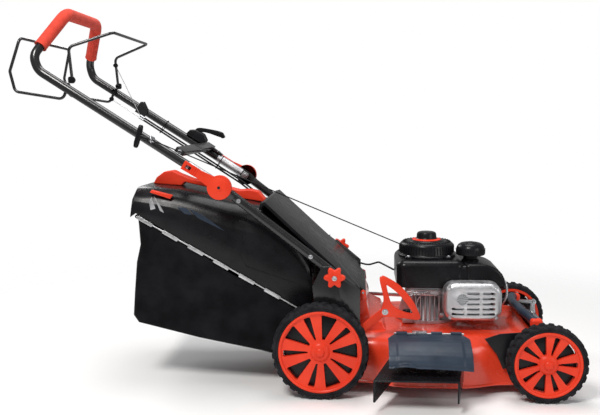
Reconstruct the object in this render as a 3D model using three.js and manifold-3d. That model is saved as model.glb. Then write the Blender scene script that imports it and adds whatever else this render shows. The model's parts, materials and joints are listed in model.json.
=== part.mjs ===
// A walk-behind petrol lawn mower with a rear grass bag: steel deck, engine, folding handle, four wheels.
// Millimetres. While it is drawn, +X is forwards, +Y is the left side, +Z is up, and zero is on the ground
// under the rear wheels' axis, midway between them. The finished group stands centred on its base.
import * as THREE from 'three';
import { mergeVertices } from 'three/addons/utils/BufferGeometryUtils.js';
import Module from 'manifold-3d';

const wasm = await Module();
wasm.setup();

// ---------------------------------------------------------------- driving dimensions
const WHEELBASE = 582;
const TRACK = 560; // outer face to outer face
const WHEEL_WIDTH = 48;
const WHEEL_FACETS = 26;
const FLAT = 1 / Math.cos(Math.PI / WHEEL_FACETS); // the facets' middles, not their corners, lie on a radius
const REAR_WHEEL = { tyre: 127, rim: 109 };
const FRONT_WHEEL = { tyre: 101.6, rim: 86 };
const CRANK_BACK = 61; // how far a wheel's axis lies behind its crank's pivot
const CRANK_DROP = 13;
const CRANK_FACE = 221; // inner face of the crank arms
const LINK_RISE = 40; // height of the link's pins above the pivots
const DECK_BASE = 25;
const DECK_TOP = 155;
const SHEET = 3; // pressed steel, drawn a little thick
const BLADE_LENGTH = 457;
const CRANK_X = 294; // the engine's crankshaft
const ARM_Y = 213; // the handle tubes' middle
const TUBE = 12; // handle tube radius
const FOLD = { x: -262, z: 555 };
const KNOB = { x: 38, z: 320 };
const PLATE_Y = [225.6, 229.6]; // the joint plates and brackets, outside the tubes
const GAP = 0.4; // clearance between pieces that touch

// ---------------------------------------------------------------- materials
function material(colour, roughness, metalness = 0) {
  return new THREE.MeshStandardMaterial({ color: colour, roughness, metalness });
}
const RED_PAINT = material(0xf04a28, 0.3, 0.1);
const RED_PLASTIC = material(0xf0452a, 0.4);
const RED_FOAM = material(0xe8483a, 0.75);
const BLACK_PAINT = material(0x101012, 0.25, 0.2);
const BLACK_PLASTIC = material(0x17181b, 0.45);
const GREY_PLASTIC = material(0x2b3442, 0.4);
const FABRIC = material(0x121214, 0.9);
const RUBBER = material(0x1c1d20, 0.85);
const STEEL = material(0x9a9ca0, 0.35, 0.9);
const ALUMINIUM = material(0xb4b4b8, 0.45, 0.8);

// ---------------------------------------------------------------- shape helpers
function solid(geometry) {
  const bare = geometry.index ? geometry.toNonIndexed() : geometry.clone();
  bare.deleteAttribute('normal');
  bare.deleteAttribute('uv');
  const merged = mergeVertices(bare, 1e-4);
  const vertProperties = new Float32Array(merged.attributes.position.array);
  const triVerts = new Uint32Array(merged.index.array);
  const body = new wasm.Manifold(new wasm.Mesh({ numProp: 3, vertProperties, triVerts }));
  // faces that point inwards make the volume negative: reversing them turns the solid right way out
  return body.volume() > 0 ? body
    : new wasm.Manifold(new wasm.Mesh({ numProp: 3, vertProperties, triVerts: triVerts.reverse() }));
}

function shell(manifold) {
  const mesh = manifold.getMesh();
  const geometry = new THREE.BufferGeometry();
  geometry.setAttribute('position', new THREE.BufferAttribute(new Float32Array(mesh.vertProperties), 3));
  geometry.setIndex(new THREE.BufferAttribute(new Uint32Array(mesh.triVerts), 1));
  geometry.computeVertexNormals();
  return geometry;
}

function join(first, ...others) {
  return others.reduce((sum, one) => sum.add(one), first);
}

function cut(first, ...others) {
  return others.reduce((rest, one) => rest.subtract(one), first);
}

function block(x, y, z) {
  const box = new THREE.BoxGeometry(x[1] - x[0], y[1] - y[0], z[1] - z[0]);
  box.translate((x[0] + x[1]) / 2, (y[0] + y[1]) / 2, (z[0] + z[1]) / 2);
  return solid(box);
}

function outline(points) {
  return new THREE.Shape(points.map(([u, v]) => new THREE.Vector2(u, v)));
}

function roundedRectangle(u, v, radius) {
  const shape = new THREE.Shape();
  shape.absarc(u[1] - radius, v[1] - radius, radius, 0, Math.PI / 2);
  shape.absarc(u[0] + radius, v[1] - radius, radius, Math.PI / 2, Math.PI);
  shape.absarc(u[0] + radius, v[0] + radius, radius, Math.PI, 1.5 * Math.PI);
  shape.absarc(u[1] - radius, v[0] + radius, radius, 1.5 * Math.PI, 2 * Math.PI);
  return shape;
}

// A plan outline raised from z[0] to z[1], with an optional chamfer at both ends.
function raised(shape, z, chamfer = 0, curveSegments = 4) {
  const geometry = new THREE.ExtrudeGeometry(shape, {
    depth: z[1] - z[0] - 2 * chamfer, curveSegments, bevelEnabled: chamfer > 0,
    bevelThickness: chamfer, bevelSize: chamfer, bevelOffset: -chamfer, bevelSegments: 1,
  });
  return solid(geometry.translate(0, 0, z[0] + chamfer));
}

// A side outline, drawn in X and Z, widened from y[0] to y[1].
function widened(shape, y, chamfer = 0, curveSegments = 4) {
  const geometry = new THREE.ExtrudeGeometry(shape, {
    depth: y[1] - y[0] - 2 * chamfer, curveSegments, bevelEnabled: chamfer > 0,
    bevelThickness: chamfer, bevelSize: chamfer, bevelOffset: -chamfer, bevelSegments: 1,
  });
  return solid(geometry.rotateX(Math.PI / 2).translate(0, y[1] - chamfer, 0));
}

// A solid of revolution about a vertical line; the profile holds [radius, height] pairs.
function turned(profile, segments = 24) {
  return solid(new THREE.LatheGeometry(profile.map(([r, h]) => new THREE.Vector2(r, h)), segments)
    .rotateX(Math.PI / 2));
}

function disc(radius, z, segments = 24) {
  return turned([[0, z[0]], [radius, z[0]], [radius, z[1]], [0, z[1]]], segments);
}

// A round bar along Y through (x, z).
function crossBar(radius, x, y, z, segments = 16) {
  return solid(new THREE.CylinderGeometry(radius, radius, y[1] - y[0], segments)
    .translate(x, (y[0] + y[1]) / 2, z));
}

// A polyline whose corners are rounded, stepped only where it bends.
class BentPath extends THREE.Curve {
  constructor(points, bend, arcs = 4) {
    super();
    const corners = points.map((p) => new THREE.Vector3(...p));
    this.nodes = [corners[0]];
    for (let i = 1; i < corners.length - 1; i += 1) {
      const before = corners[i - 1].clone().sub(corners[i]);
      const after = corners[i + 1].clone().sub(corners[i]);
      const reach = Math.min(bend, before.length() * 0.45, after.length() * 0.45);
      const arc = new THREE.QuadraticBezierCurve3(
        corners[i].clone().addScaledVector(before.normalize(), reach), corners[i],
        corners[i].clone().addScaledVector(after.normalize(), reach));
      this.nodes.push(...arc.getPoints(arcs));
    }
    this.nodes.push(corners[corners.length - 1]);
    this.steps = this.nodes.length - 1;
  }

  getPoint(t, target = new THREE.Vector3()) {
    const place = Math.min(t * this.steps, this.steps - 1e-9);
    const first = Math.floor(place);
    return target.lerpVectors(this.nodes[first], this.nodes[first + 1], place - first);
  }

  getPointAt(u, target) {
    return this.getPoint(u, target);
  }

  getTangentAt(u, target = new THREE.Vector3()) {
    const at = Math.round(u * this.steps);
    const next = this.nodes[Math.min(at + 1, this.steps)];
    return target.copy(next).sub(this.nodes[Math.max(at - 1, 0)]).normalize();
  }
}

function rod(points, radius, bend = 30, sides = 8, arcs = 4) {
  const path = new BentPath(points, bend, arcs);
  const section = new THREE.Shape();
  section.absarc(0, 0, radius, 0, 2 * Math.PI);
  const geometry = new THREE.ExtrudeGeometry(section, {
    steps: path.steps, curveSegments: sides / 2, extrudePath: path, bevelEnabled: false,
  });
  return solid(geometry);
}

// A lofted solid: outlines of equally many points, each at its own distance along the third axis.
function lofted(levels, place) {
  const count = levels[0].points.length;
  const positions = [];
  const faces = [];
  levels.forEach(({ at, points }) => points.forEach(([u, v]) => positions.push(...place(u, v, at))));
  for (let k = 0; k < levels.length - 1; k += 1) {
    for (let i = 0; i < count; i += 1) {
      const [a, b] = [k * count + i, k * count + ((i + 1) % count)];
      faces.push(a, b, b + count, a, b + count, a + count);
    }
  }
  const cap = (level) => THREE.ShapeUtils.triangulateShape(
    level.points.map(([u, v]) => new THREE.Vector2(u, v)), []);
  cap(levels[0]).forEach(([a, b, c]) => faces.push(c, b, a));
  const last = (levels.length - 1) * count;
  cap(levels[levels.length - 1]).forEach(([a, b, c]) => faces.push(last + a, last + b, last + c));
  const geometry = new THREE.BufferGeometry();
  geometry.setAttribute('position', new THREE.Float32BufferAttribute(positions, 3));
  geometry.setIndex(faces);
  return solid(geometry);
}

const group = new THREE.Group();

function add(name, look, manifold) {
  const mesh = new THREE.Mesh(shell(manifold), look);
  mesh.name = name;
  group.add(mesh);
}

// ---------------------------------------------------------------- wheels and height adjustment
const SIDES = [['right', -1], ['left', 1]];
const AXLES = [
  { name: 'rear', x: 0, size: REAR_WHEEL, wide: 3 },
  { name: 'front', x: WHEELBASE, size: FRONT_WHEEL, wide: 36 },
];

// A wheel is drawn about a vertical axis, outer face up, then laid over onto its side. It is first
// turned by half a facet, so that it stands on a flat.
const HALF_FACET = 180 / WHEEL_FACETS;
function placeWheel(wheel, axle, side) {
  const turn = side < 0 ? 90 : -90;
  return wheel.rotate([0, 0, HALF_FACET]).rotate([turn, 0, 0])
    .translate([axle.x, side * (TRACK / 2 - WHEEL_WIDTH / 2), axle.size.tyre]);
}

function tyre(size) {
  const half = WHEEL_WIDTH / 2;
  const outer = size.tyre * FLAT;
  const rim = size.rim * FLAT;
  return turned([[rim + GAP, -half], [outer - 5, -half], [outer, -half + 6], [outer, half - 6],
    [outer - 5, half], [rim + GAP, half], [rim + GAP, -half]], WHEEL_FACETS);
}

function spokeWindow(inner, outer, angle, innerHalf, outerHalf, z) {
  const corners = [[inner, -innerHalf], [outer, -outerHalf], [outer, outerHalf], [inner, innerHalf]];
  return raised(outline(corners), z).rotate([0, 0, angle]);
}

function wheelBody(size, wideAngle) {
  const face = 20;
  const rim = size.rim * FLAT;
  const body = turned([[6.4, -23], [17, -23], [17, 4], [rim - 8, 4], [rim - 8, -23], [rim, -23], [rim, 23],
    [rim - 5, 23], [rim - 9, face], [24, face], [20, 23], [0, 24], [0, 14], [6.4, 14],
    [6.4, -23]], WHEEL_FACETS);
  const windows = [];
  for (let k = 0; k < 5; k += 1) {
    const angle = wideAngle - HALF_FACET + 72 * k;
    windows.push(spokeWindow(30, rim - 14, angle, 5, 0.21 * rim, [9, 30]));
    windows.push(spokeWindow(30, rim - 14, angle + 36, 3, 0.09 * rim, [9, 30]));
  }
  return cut(body, ...windows);
}

AXLES.forEach((axle) => SIDES.forEach(([sideName, side]) => {
  add(`tyre_${axle.name}_${sideName}`, RUBBER, placeWheel(tyre(axle.size), axle, side));
  add(`wheel_${axle.name}_${sideName}`, RED_PLASTIC,
    placeWheel(wheelBody(axle.size, axle.wide), axle, side));
}));

// A cranked axle: a pivot tube across the deck, an arm at each end, a stub for each wheel.
function crankedAxle(axle) {
  const pivot = { x: axle.x + CRANK_BACK, z: axle.size.tyre + CRANK_DROP };
  const arm = widened(outline([
    [pivot.x + 9, pivot.z + 4], [pivot.x - 2, pivot.z + 11], [axle.x - 8, axle.size.tyre + 8],
    [axle.x - 8, axle.size.tyre - 8], [axle.x + 4, axle.size.tyre - 9], [pivot.x + 8, pivot.z - 8]]),
  [CRANK_FACE, CRANK_FACE + 8]);
  const stub = crossBar(6, axle.x, [CRANK_FACE + 4, TRACK / 2 - 14], axle.size.tyre, 12);
  const pin = crossBar(4, pivot.x, [195, 209], pivot.z + LINK_RISE, 10);
  const linkArm = widened(outline([
    [pivot.x - 9, pivot.z - 2], [pivot.x + 9, pivot.z - 2], [pivot.x + 6, pivot.z + LINK_RISE + 6],
    [pivot.x - 6, pivot.z + LINK_RISE + 6]]), [207.5, 212.5]);
  const tube = crossBar(8, pivot.x, [-CRANK_FACE - 2, CRANK_FACE + 2], pivot.z, 16);
  return join(tube, arm, stub, arm.mirror([0, 1, 0]), stub.mirror([0, 1, 0]), linkArm, pin);
}

const [REAR_PIVOT, FRONT_PIVOT] = AXLES.map((axle) => (
  { x: axle.x + CRANK_BACK, z: axle.size.tyre + CRANK_DROP }));
const LEVER_BOLT = { x: 169, z: 229 };
const LEVER_ARM_Y = [-214, -209];

// The lever's loop grip, a rounded triangle drawn in X and Z.
function loopGrip() {
  const outer = outline([[154, 318], [166, 323], [205, 300], [238, 262], [258, 224], [258, 213],
    [248, 208], [205, 214], [162, 218], [158, 226], [166, 262]]);
  const hole = outline([[172, 300], [200, 281], [226, 252], [240, 225], [212, 231], [191, 244], [181, 270]]);
  return cut(widened(outer, [-246, -231.5]), widened(hole, [-250, -220]));
}

function heightLever() {
  const arm = outline([[REAR_PIVOT.x - 12, REAR_PIVOT.z - 6], [REAR_PIVOT.x + 8, REAR_PIVOT.z - 12],
    [LEVER_BOLT.x + 14, LEVER_BOLT.z - 8], [LEVER_BOLT.x + 4, LEVER_BOLT.z + 12]]);
  const bush = crossBar(8 + GAP, REAR_PIVOT.x, [-215, -208], REAR_PIVOT.z);
  const spacer = crossBar(9, LEVER_BOLT.x, [-232, -211], LEVER_BOLT.z, 12);
  return join(cut(widened(arm, LEVER_ARM_Y), bush), spacer, loopGrip());
}

function heightLink() {
  const from = { x: REAR_PIVOT.x, z: REAR_PIVOT.z + LINK_RISE };
  const to = { x: FRONT_PIVOT.x, z: FRONT_PIVOT.z + LINK_RISE };
  const bar = widened(outline([[from.x, from.z - 5], [to.x, to.z - 5], [to.x, to.z + 5],
    [from.x, from.z + 5]]), [197, 203]);
  const eyes = [from, to].map(({ x, z }) => crossBar(9, x, [197, 203], z, 14));
  const bores = [from, to].map(({ x, z }) => crossBar(4.4, x, [190, 210], z, 14));
  return cut(join(bar, ...eyes), ...bores);
}

add('rear_axle', STEEL, crankedAxle(AXLES[0]));
add('front_axle', STEEL, crankedAxle(AXLES[1]));
add('height_lever', RED_PLASTIC, heightLever());
add('height_link', STEEL, heightLink());

// ---------------------------------------------------------------- deck, chute and covers
const DECK = { rear: -10, front: 612, narrow: 205, wide: 240 };
const DOOR_PIN = { x: 112, z: 258 };
const TUNNEL = { rear: -14, front: 206, half: 150, top: 240, floor: 160 };
const CHUTE_X = [196, 366];

function deckOutline(inset) {
  const { rear, front } = DECK;
  const narrow = DECK.narrow - inset;
  const wide = DECK.wide - inset;
  const corner = 58 - inset / 2;
  const shape = new THREE.Shape();
  shape.moveTo(rear + inset, -narrow);
  shape.lineTo(110, -narrow);
  shape.bezierCurveTo(160, -narrow, 180, -wide, 235, -wide);
  shape.lineTo(350, -wide);
  shape.bezierCurveTo(420, -wide, 440, -narrow, 500, -narrow);
  shape.lineTo(front - inset - corner, -narrow);
  shape.absarc(front - inset - corner, -narrow + corner, corner, -Math.PI / 2, 0);
  shape.absarc(front - inset - corner, narrow - corner, corner, 0, Math.PI / 2);
  shape.lineTo(500, narrow);
  shape.bezierCurveTo(440, narrow, 420, wide, 350, wide);
  shape.lineTo(235, wide);
  shape.bezierCurveTo(180, wide, 160, narrow, 110, narrow);
  shape.lineTo(rear + inset, narrow);
  return shape.getPoints(5).map((p) => [p.x, p.y]);
}

const PLAN = (u, v, at) => [u, v, at];

function deckBody(skin, base) {
  const levels = [[base, 0], [118, 0], [138, 14], [DECK_TOP - skin, 46]];
  return lofted(levels.map(([at, inset]) => ({ at, points: deckOutline(inset + skin) })), PLAN);
}

function deck() {
  const chamber = deckBody(SHEET, DECK_BASE - 40);
  const { rear, front, half, top, floor } = TUNNEL;
  const side = outline([[rear, 130], [front, 130], [front, 150], [176, 152], [165, 174], [130, 190],
    [120, 236], [116, top], [100, top], [rear, 225]]);
  const tunnel = widened(side, [-half, half]);
  const hollow = widened(outline([[rear - 9, 120], [front - SHEET, 120], [front - SHEET, 147],
    [174, 149], [163, 171], [127, 187.5], [117, 235], [114.5, top - SHEET], [100, top - SHEET],
    [rear - 9, 222]]), [-half + SHEET, half - SHEET]);
  const floorPlate = block([rear, 150], [-half, half], [floor - SHEET, floor]);
  const steel = cut(join(deckBody(0, DECK_BASE), tunnel), chamber, hollow);
  const shaftHole = disc(40, [DECK_TOP - 20, DECK_TOP + 20]).translate([CRANK_X, 0, 0]);
  const axleHole = crossBar(8.6, REAR_PIVOT.x, [-230, 230], REAR_PIVOT.z, 16);
  const sideOpening = block(CHUTE_X, [-260, -200], [45, 112]);
  const lug = block([DOOR_PIN.x - 7, DOOR_PIN.x + 7], [half - 6, half], [top - 2, DOOR_PIN.z + 7]);
  const pin = crossBar(3, DOOR_PIN.x, [-half + 2, half - 2], DOOR_PIN.z, 10);
  const body = join(steel, floorPlate, lug, lug.mirror([0, 1, 0]), pin);
  return cut(body, shaftHole, axleHole, sideOpening);
}

// The side outlet: a sloping hood whose cheeks lean to the rear and reach down at the outer end.
function sideChute() {
  const level = (y, [rear, front], [low, high]) => (
    { at: y, points: [[rear, high], [rear, low], [front, low], [front, high]] });
  const place = (x, z, y) => [x, y, z];
  const [rear, front] = CHUTE_X;
  const hood = lofted([level(-370, [136, 348], [30, 86]),
    level(-240.5, [rear - 8, front + 8], [46, 116])], place);
  const inside = lofted([level(-371, [141, 343], [27, 82]),
    level(-240, [rear - 3, front + 3], [43, 112])], place);
  return cut(hood, inside);
}

// The outlet's sprung flap: a curved cover hinged along its top edge, over the chute's hood.
const FLAP_HINGE = { y: -246, z: 172 };
function sideFlap() {
  const section = (out) => [[-250 - out, 168 + out], [-300 - out, 160 + out],
    [-340 - out, 142 + out / 2], [-352 - out, 114]];
  const skin = [...section(4), ...section(0).reverse()];
  const ends = { at: [[176, 0], [200, 1], [280, 4], [358, 1], [384, 0]] };
  const cover = lofted(ends.at.map(([at, bulge]) => (
    { at, points: skin.map(([y, z]) => [y - bulge, z + bulge]) })), (y, z, at) => [at, y, z]);
  const barrels = solid(new THREE.CylinderGeometry(6, 6, 150, 12).rotateZ(Math.PI / 2)
    .translate(282, FLAP_HINGE.y, FLAP_HINGE.z));
  const web = block([207, 357], [-256, -246], [164.5, 170]);
  return join(cover, web, barrels);
}

// The black front fairing: a cowl across the deck's nose and a wing inside each front wheel.
function frontCover() {
  const cowl = outline([[618, 98], [630, 98], [630, 124], [614, 146], [566, 171], [566, 166],
    [611, 142], [625, 121], [625, 103], [618, 103]]);
  const linkSlot = block([560, 622], [190, 212], [136, 176]);
  const wing = outline([[430, 152], [470, 166], [540, 172], [566, 171], [614, 146], [540, 146],
    [500, 76], [478, 72], [462, 110]]);
  const wings = [-1, 1].map((side) => widened(wing, side < 0 ? [-218.5, -214] : [214, 218.5]));
  return join(cut(widened(cowl, [-218.5, 218.5]), linkSlot), ...wings);
}

// A padded lifting bar across the nose, ahead of the engine, on two red end caps.
function frontGrip() {
  const half = [[574, -150, 182], [562, -124, 190], [548, -50, 196]];
  return rod([...half, ...half.map(([x, y, z]) => [x, -y, z]).reverse()], 11, 20, 10);
}

function handleBracket(side) {
  const plate = outline([[-22, 292], [4, 345], [30, 345], [104, 282], [104, 186], [70, 182], [-10, 196]]);
  const foot = block([-6, 36], [TUNNEL.half + GAP, PLATE_Y[1]], [200, 204]);
  const studHole = crossBar(4.4, KNOB.x, [220, 240], KNOB.z, 12);
  const left = cut(join(widened(plate, PLATE_Y), foot), studHole);
  return side < 0 ? left.mirror([0, 1, 0]) : left;
}

function beltCover() {
  const tray = roundedRectangle([56, 340], [-52, 52], 40);
  const inside = roundedRectangle([59, 337], [-49, 49], 38);
  const bore = disc(18, [80, 100], 20).translate([CRANK_X, 0, 0]);
  return cut(raised(tray, [84, 122]), raised(inside, [87, 130]), bore);
}

add('deck', RED_PAINT, deck());
add('side_chute', BLACK_PLASTIC, sideChute());
add('side_flap', GREY_PLASTIC, sideFlap());
add('front_cover', BLACK_PLASTIC, frontCover());
add('front_grip', GREY_PLASTIC, frontGrip());
SIDES.forEach(([name, side]) => add(`bracket_${name}`, BLACK_PAINT, handleBracket(side)));
add('belt_cover', BLACK_PLASTIC, beltCover());

// ---------------------------------------------------------------- engine and drive
const ENGINE_BASE = DECK_TOP + GAP;
const SHROUD = { x: [205, 392], y: [-112, 112], z: [264, 338] };
const TANK = { x: [393, 502], y: [-112, 40], z: [262, 330] };
const SUMP_TOP = 258;
const FIN_TOP = 256;
const FILLER = { x: 414, y: -40 };
const SHAFT_RADIUS = 12.5;

function engineBlock() {
  const flange = disc(88, [ENGINE_BASE, ENGINE_BASE + 10], 24).translate([CRANK_X, 0, 0]);
  const spigot = disc(38, [DECK_TOP - 12, ENGINE_BASE + 2], 20).translate([CRANK_X, 0, 0]);
  const sump = turned([[0, 164], [80, 164], [76, 190], [62, 232], [58, SUMP_TOP], [0, SUMP_TOP]], 20)
    .translate([CRANK_X, 0, 0]);
  const barrel = raised(roundedRectangle([330, 398], [-46, 46], 12), [176, FIN_TOP], 0, 2);
  const fins = [0, 1, 2, 3, 4].map((k) => block([398 + 13 * k, 403 + 13 * k], [-52, 52], [172, FIN_TOP]));
  const core = block([396, 470], [-34, 34], [182, FIN_TOP - 6]);
  const head = raised(roundedRectangle([462, 492], [-48, 48], 8), [174, FIN_TOP - 4], 0, 2);
  const bore = disc(SHAFT_RADIUS + 0.5, [120, SUMP_TOP + 6], 20).translate([CRANK_X, 0, 0]);
  const oilSeat = disc(12.5, [172, 176]).translate([236, -72, 0]);
  const sumpEar = block([222, 250], [-90, -58], [160, 172]);
  return cut(join(flange, spigot, sump, barrel, ...fins, core, head, sumpEar), bore, oilSeat);
}

function hollowCap(x, y, z, radius, wall) {
  const outer = raised(roundedRectangle(x, y, radius), z, 0, 3);
  const inner = raised(roundedRectangle([x[0] + wall, x[1] - wall], [y[0] + wall, y[1] - wall],
    radius - wall), [z[0] - 1, z[1] - wall], 0, 3);
  return cut(outer, inner);
}

function blowerShroud() {
  const top = disc(72, [SHROUD.z[1] - 10, SHROUD.z[1] + 10], 28).translate([CRANK_X, 0, 0]);
  return cut(hollowCap(SHROUD.x, SHROUD.y, SHROUD.z, 30, 3), top);
}

function recoilCover() {
  return turned([[76, 338 + GAP], [81, 338 + GAP], [81, 346], [77, 350], [73, 376], [28, 386], [26, 404],
    [0, 405], [0, 401], [23, 400], [24, 383], [69, 373], [73, 350], [76, 338 + GAP]], 22)
    .translate([CRANK_X, 0, 0]);
}

function fuelTank() {
  const side = outline([[TANK.x[0] + GAP, TANK.z[0]], [TANK.x[1], TANK.z[0]], [TANK.x[1], 282],
    [486, 312], [456, TANK.z[1]], [TANK.x[0] + GAP, TANK.z[1]]]);
  const neck = disc(20, [325, 346], 20).translate([FILLER.x, FILLER.y, 0]);
  const well = disc(15, [300, 350], 16).translate([FILLER.x, FILLER.y, 0]);
  return cut(join(widened(side, TANK.y), neck), well);
}

function fuelCap() {
  return turned([[0, 346 + GAP], [40, 346 + GAP], [40, 372], [34, 381], [0, 383]], 24)
    .translate([FILLER.x, FILLER.y, 0]);
}

function oilCap() {
  return turned([[0, 172 + GAP], [12, 172 + GAP], [13, 176], [13, 192], [0, 194]], 14)
    .translate([236, -72, 0]);
}

function muffler() {
  const can = raised(roundedRectangle([348, 462], [-167, -117], 18), [196, 278], 0, 3);
  const pipe = block([405, 440], [-120, -52 - GAP], [198, 216]);
  return join(can, pipe);
}

function mufflerGuard() {
  const outer = widened(roundedRectangle([329, 482], [187, 289], 26), [-174, -118], 0, 3);
  const inner = widened(roundedRectangle([332, 479], [190, 286], 23), [-171, -100], 0, 3);
  const slots = [];
  for (let row = 0; row < 5; row += 1) {
    for (let column = 0; column < 3; column += 1) {
      const [x, z] = [346 + 43 * column, 208 + 13.5 * row];
      slots.push(block([x, x + 34], [-180, -165], [z, z + 5]));
    }
  }
  return cut(outer, inner, ...slots);
}

function airFilter() {
  const box = raised(roundedRectangle([330, 452], [128, 196], 16), [214, 306], 5, 3);
  return join(box, block([356, 400], [118, 132], [226, 258]));
}

function carburettor() {
  const body = raised(roundedRectangle([358, 398], [60, 117], 6), [228 - 18, 234], 0, 2);
  const bowl = disc(17, [190, 214], 14).translate([378, 88, 0]);
  const throat = block([368, 388], [47, 62], [212, 230]);
  return join(cut(body, block([350, 400], [40, 55], [200, 240])), bowl, cut(throat, block([350, 400],
    [40, 52 + GAP], [200, 240])));
}

function sparkPlug() {
  return solid(new THREE.CylinderGeometry(8, 8, 36, 12).rotateZ(Math.PI / 2).translate(510 + GAP, 0, 204));
}

// The engine's turning parts: crankshaft, flywheel above it, blade below.
function crankshaft() {
  const shaft = disc(SHAFT_RADIUS, [47, 290], 20);
  const pulley = turned([[0, 96], [30, 96], [26, 103], [26, 107], [30, 114], [0, 114]], 24);
  const adapter = turned([[0, 47], [34, 47], [34, 52], [20, 60], [0, 60]], 20);
  return join(shaft, pulley, adapter).translate([CRANK_X, 0, 0]);
}

function flywheel() {
  const wheel = turned([[13.2, 268], [66, 268], [66, 304], [60, 304], [60, 284], [13.2, 284],
    [13.2, 268]], 24);
  const cup = turned([[40, 282], [44, 282], [44, 316], [40, 316], [40, 282]], 20);
  return join(wheel, cup).translate([CRANK_X, 0, 0]);
}

function blade() {
  const half = BLADE_LENGTH / 2;
  const bar = outline([[-half, -18], [-half + 12, -27], [half, -27], [half, 18], [half - 12, 27],
    [-half, 27]]);
  const wing = (sign) => block([Math.min(sign * (half - 60), sign * half), Math.max(sign * (half - 60),
    sign * half)], [sign > 0 ? 18 : -27, sign > 0 ? 27 : -18], [46, 58]);
  const bolt = disc(13, [34, 44], 6);
  return join(raised(bar, [42, 46.6]), wing(1), wing(-1), bolt).translate([CRANK_X, 0, 0]);
}

const INPUT_X = 104; // the gearbox's input shaft
function gearbox() {
  const box = raised(roundedRectangle([78, 136], [-34, 34], 14), [120, 150], 3, 3);
  const around = block([48, 82], [-20, 20], [126, 152]);
  const clear = crossBar(8 + GAP, REAR_PIVOT.x, [-60, 60], REAR_PIVOT.z, 16);
  return cut(join(box, around), clear);
}

function gearboxPulley() {
  return turned([[0, 94], [34, 94], [30, 103], [30, 107], [34, 114], [8, 114], [8, 119], [0, 119]], 24)
    .translate([INPUT_X, 0, 0]);
}

// A V-belt round both pulleys, lying in their grooves.
function driveBelt() {
  const loop = (grow) => {
    const shape = new THREE.Shape();
    shape.absarc(INPUT_X, 0, 31 + grow, Math.PI / 2, 1.5 * Math.PI);
    shape.absarc(CRANK_X, 0, 27 + grow, -Math.PI / 2, Math.PI / 2);
    return shape;
  };
  return cut(raised(loop(7), [103, 107], 0, 8), raised(loop(0), [100, 110], 0, 8));
}

add('engine_block', ALUMINIUM, engineBlock());
add('blower_shroud', BLACK_PLASTIC, blowerShroud());
add('recoil_cover', BLACK_PLASTIC, recoilCover());
add('fuel_tank', BLACK_PLASTIC, fuelTank());
add('fuel_cap', BLACK_PLASTIC, fuelCap());
add('oil_cap', BLACK_PLASTIC, oilCap());
add('muffler', STEEL, muffler());
add('muffler_guard', ALUMINIUM, mufflerGuard());
add('air_filter', BLACK_PLASTIC, airFilter());
add('carburettor', ALUMINIUM, carburettor());
add('spark_plug', BLACK_PLASTIC, sparkPlug());
add('crankshaft', STEEL, crankshaft());
add('flywheel', ALUMINIUM, flywheel());
add('blade', STEEL, blade());
add('gearbox', ALUMINIUM, gearbox());
add('gearbox_pulley', STEEL, gearboxPulley());
add('drive_belt', RUBBER, driveBelt());

// ---------------------------------------------------------------- folding handle and controls
const LOWER_SLOPE = THREE.MathUtils.degToRad(38);
const UPPER_SLOPE = THREE.MathUtils.degToRad(32.75);

// A point of the lower handle, and one of the upper handle: along the tube from the fold, and above it.
function lower(along, above) {
  return [FOLD.x + along * Math.cos(LOWER_SLOPE) + above * Math.sin(LOWER_SLOPE),
    FOLD.z - along * Math.sin(LOWER_SLOPE) + above * Math.cos(LOWER_SLOPE)];
}
function upper(along, above) {
  return [FOLD.x - along * Math.cos(UPPER_SLOPE) + above * Math.sin(UPPER_SLOPE),
    FOLD.z + along * Math.sin(UPPER_SLOPE) + above * Math.cos(UPPER_SLOPE)];
}
function at([x, z], y) {
  return [x, y, z];
}
function upperPlate(corners, y) {
  return widened(outline(corners.map(([along, above]) => upper(along, above)).reverse()), y);
}

// One lower tube with its joint plate and the fold's bolt, drawn for the left side.
function lowerTube(side) {
  const tube = rod([at(lower(30, 0), ARM_Y), at(lower(440, 0), ARM_Y)], TUBE, 10, 14);
  const plate = outline([lower(44, 9), lower(44, -9), lower(0, -15), upper(14, -13), upper(98, -12),
    upper(98, 4), upper(14, 12), lower(10, 14)].reverse());
  const tie = widened(outline([lower(34, -7), lower(46, -7), lower(46, 7), lower(34, 7)]), [220, 227]);
  const bolt = crossBar(4, FOLD.x, [199, 250], FOLD.z, 12);
  const head = crossBar(9, FOLD.x, [193.5, 199.5], FOLD.z, 6);
  const left = join(tube, widened(plate, PLATE_Y), tie, bolt, head);
  return side < 0 ? left.mirror([0, 1, 0]) : left;
}

// The upper handle's bends, one side of it; the foam starts a little way up the leaning part.
const BEND = 30;
const HOOP = [at(upper(-8, 0), ARM_Y), at(upper(576, 0), ARM_Y), [-758, 213, 905], [-698, 122, 1023]];
const mirrored = (points) => points.map(([x, y, z]) => [x, -y, z]).reverse();

function upperTube() {
  const tube = rod([...HOOP, ...mirrored(HOOP)], TUBE, BEND, 10, 3);
  return cut(tube, crossBar(4.4, FOLD.x, [-240, 240], FOLD.z, 12));
}

function foamGrip() {
  const [, , from, to] = HOOP;
  const start = from.map((value, i) => value + (to[i] - value) * 0.21);
  const path = [start, to, ...mirrored([start, to])];
  const beyond = from.map((value, i) => value + (to[i] - value) * 0.19);
  const inside = [beyond, to, ...mirrored([beyond, to])];
  return cut(rod(path, 17, BEND, 10, 3), rod(inside, TUBE + 2 * GAP, BEND, 10, 3));
}

function crossBrace() {
  const bar = upperPlate([[130, 12.6], [156, 12.6], [156, 26], [130, 26]], [-210, 218]);
  const foot = upperPlate([[96, 12.6], [130.5, 12.6], [130.5, 20], [96, 17]], [203, 223]);
  return join(bar, foot);
}

function controlConsole() {
  const cover = upperPlate([[162, 12.6], [228, 12.6], [224, 30], [206, 40], [180, 40], [162, 28]],
    [193, 233]);
  const slot = upperPlate([[150, 22], [240, 22], [240, 60], [150, 60]], [207.5, 218.5]);
  return cut(cover, slot);
}

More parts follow.
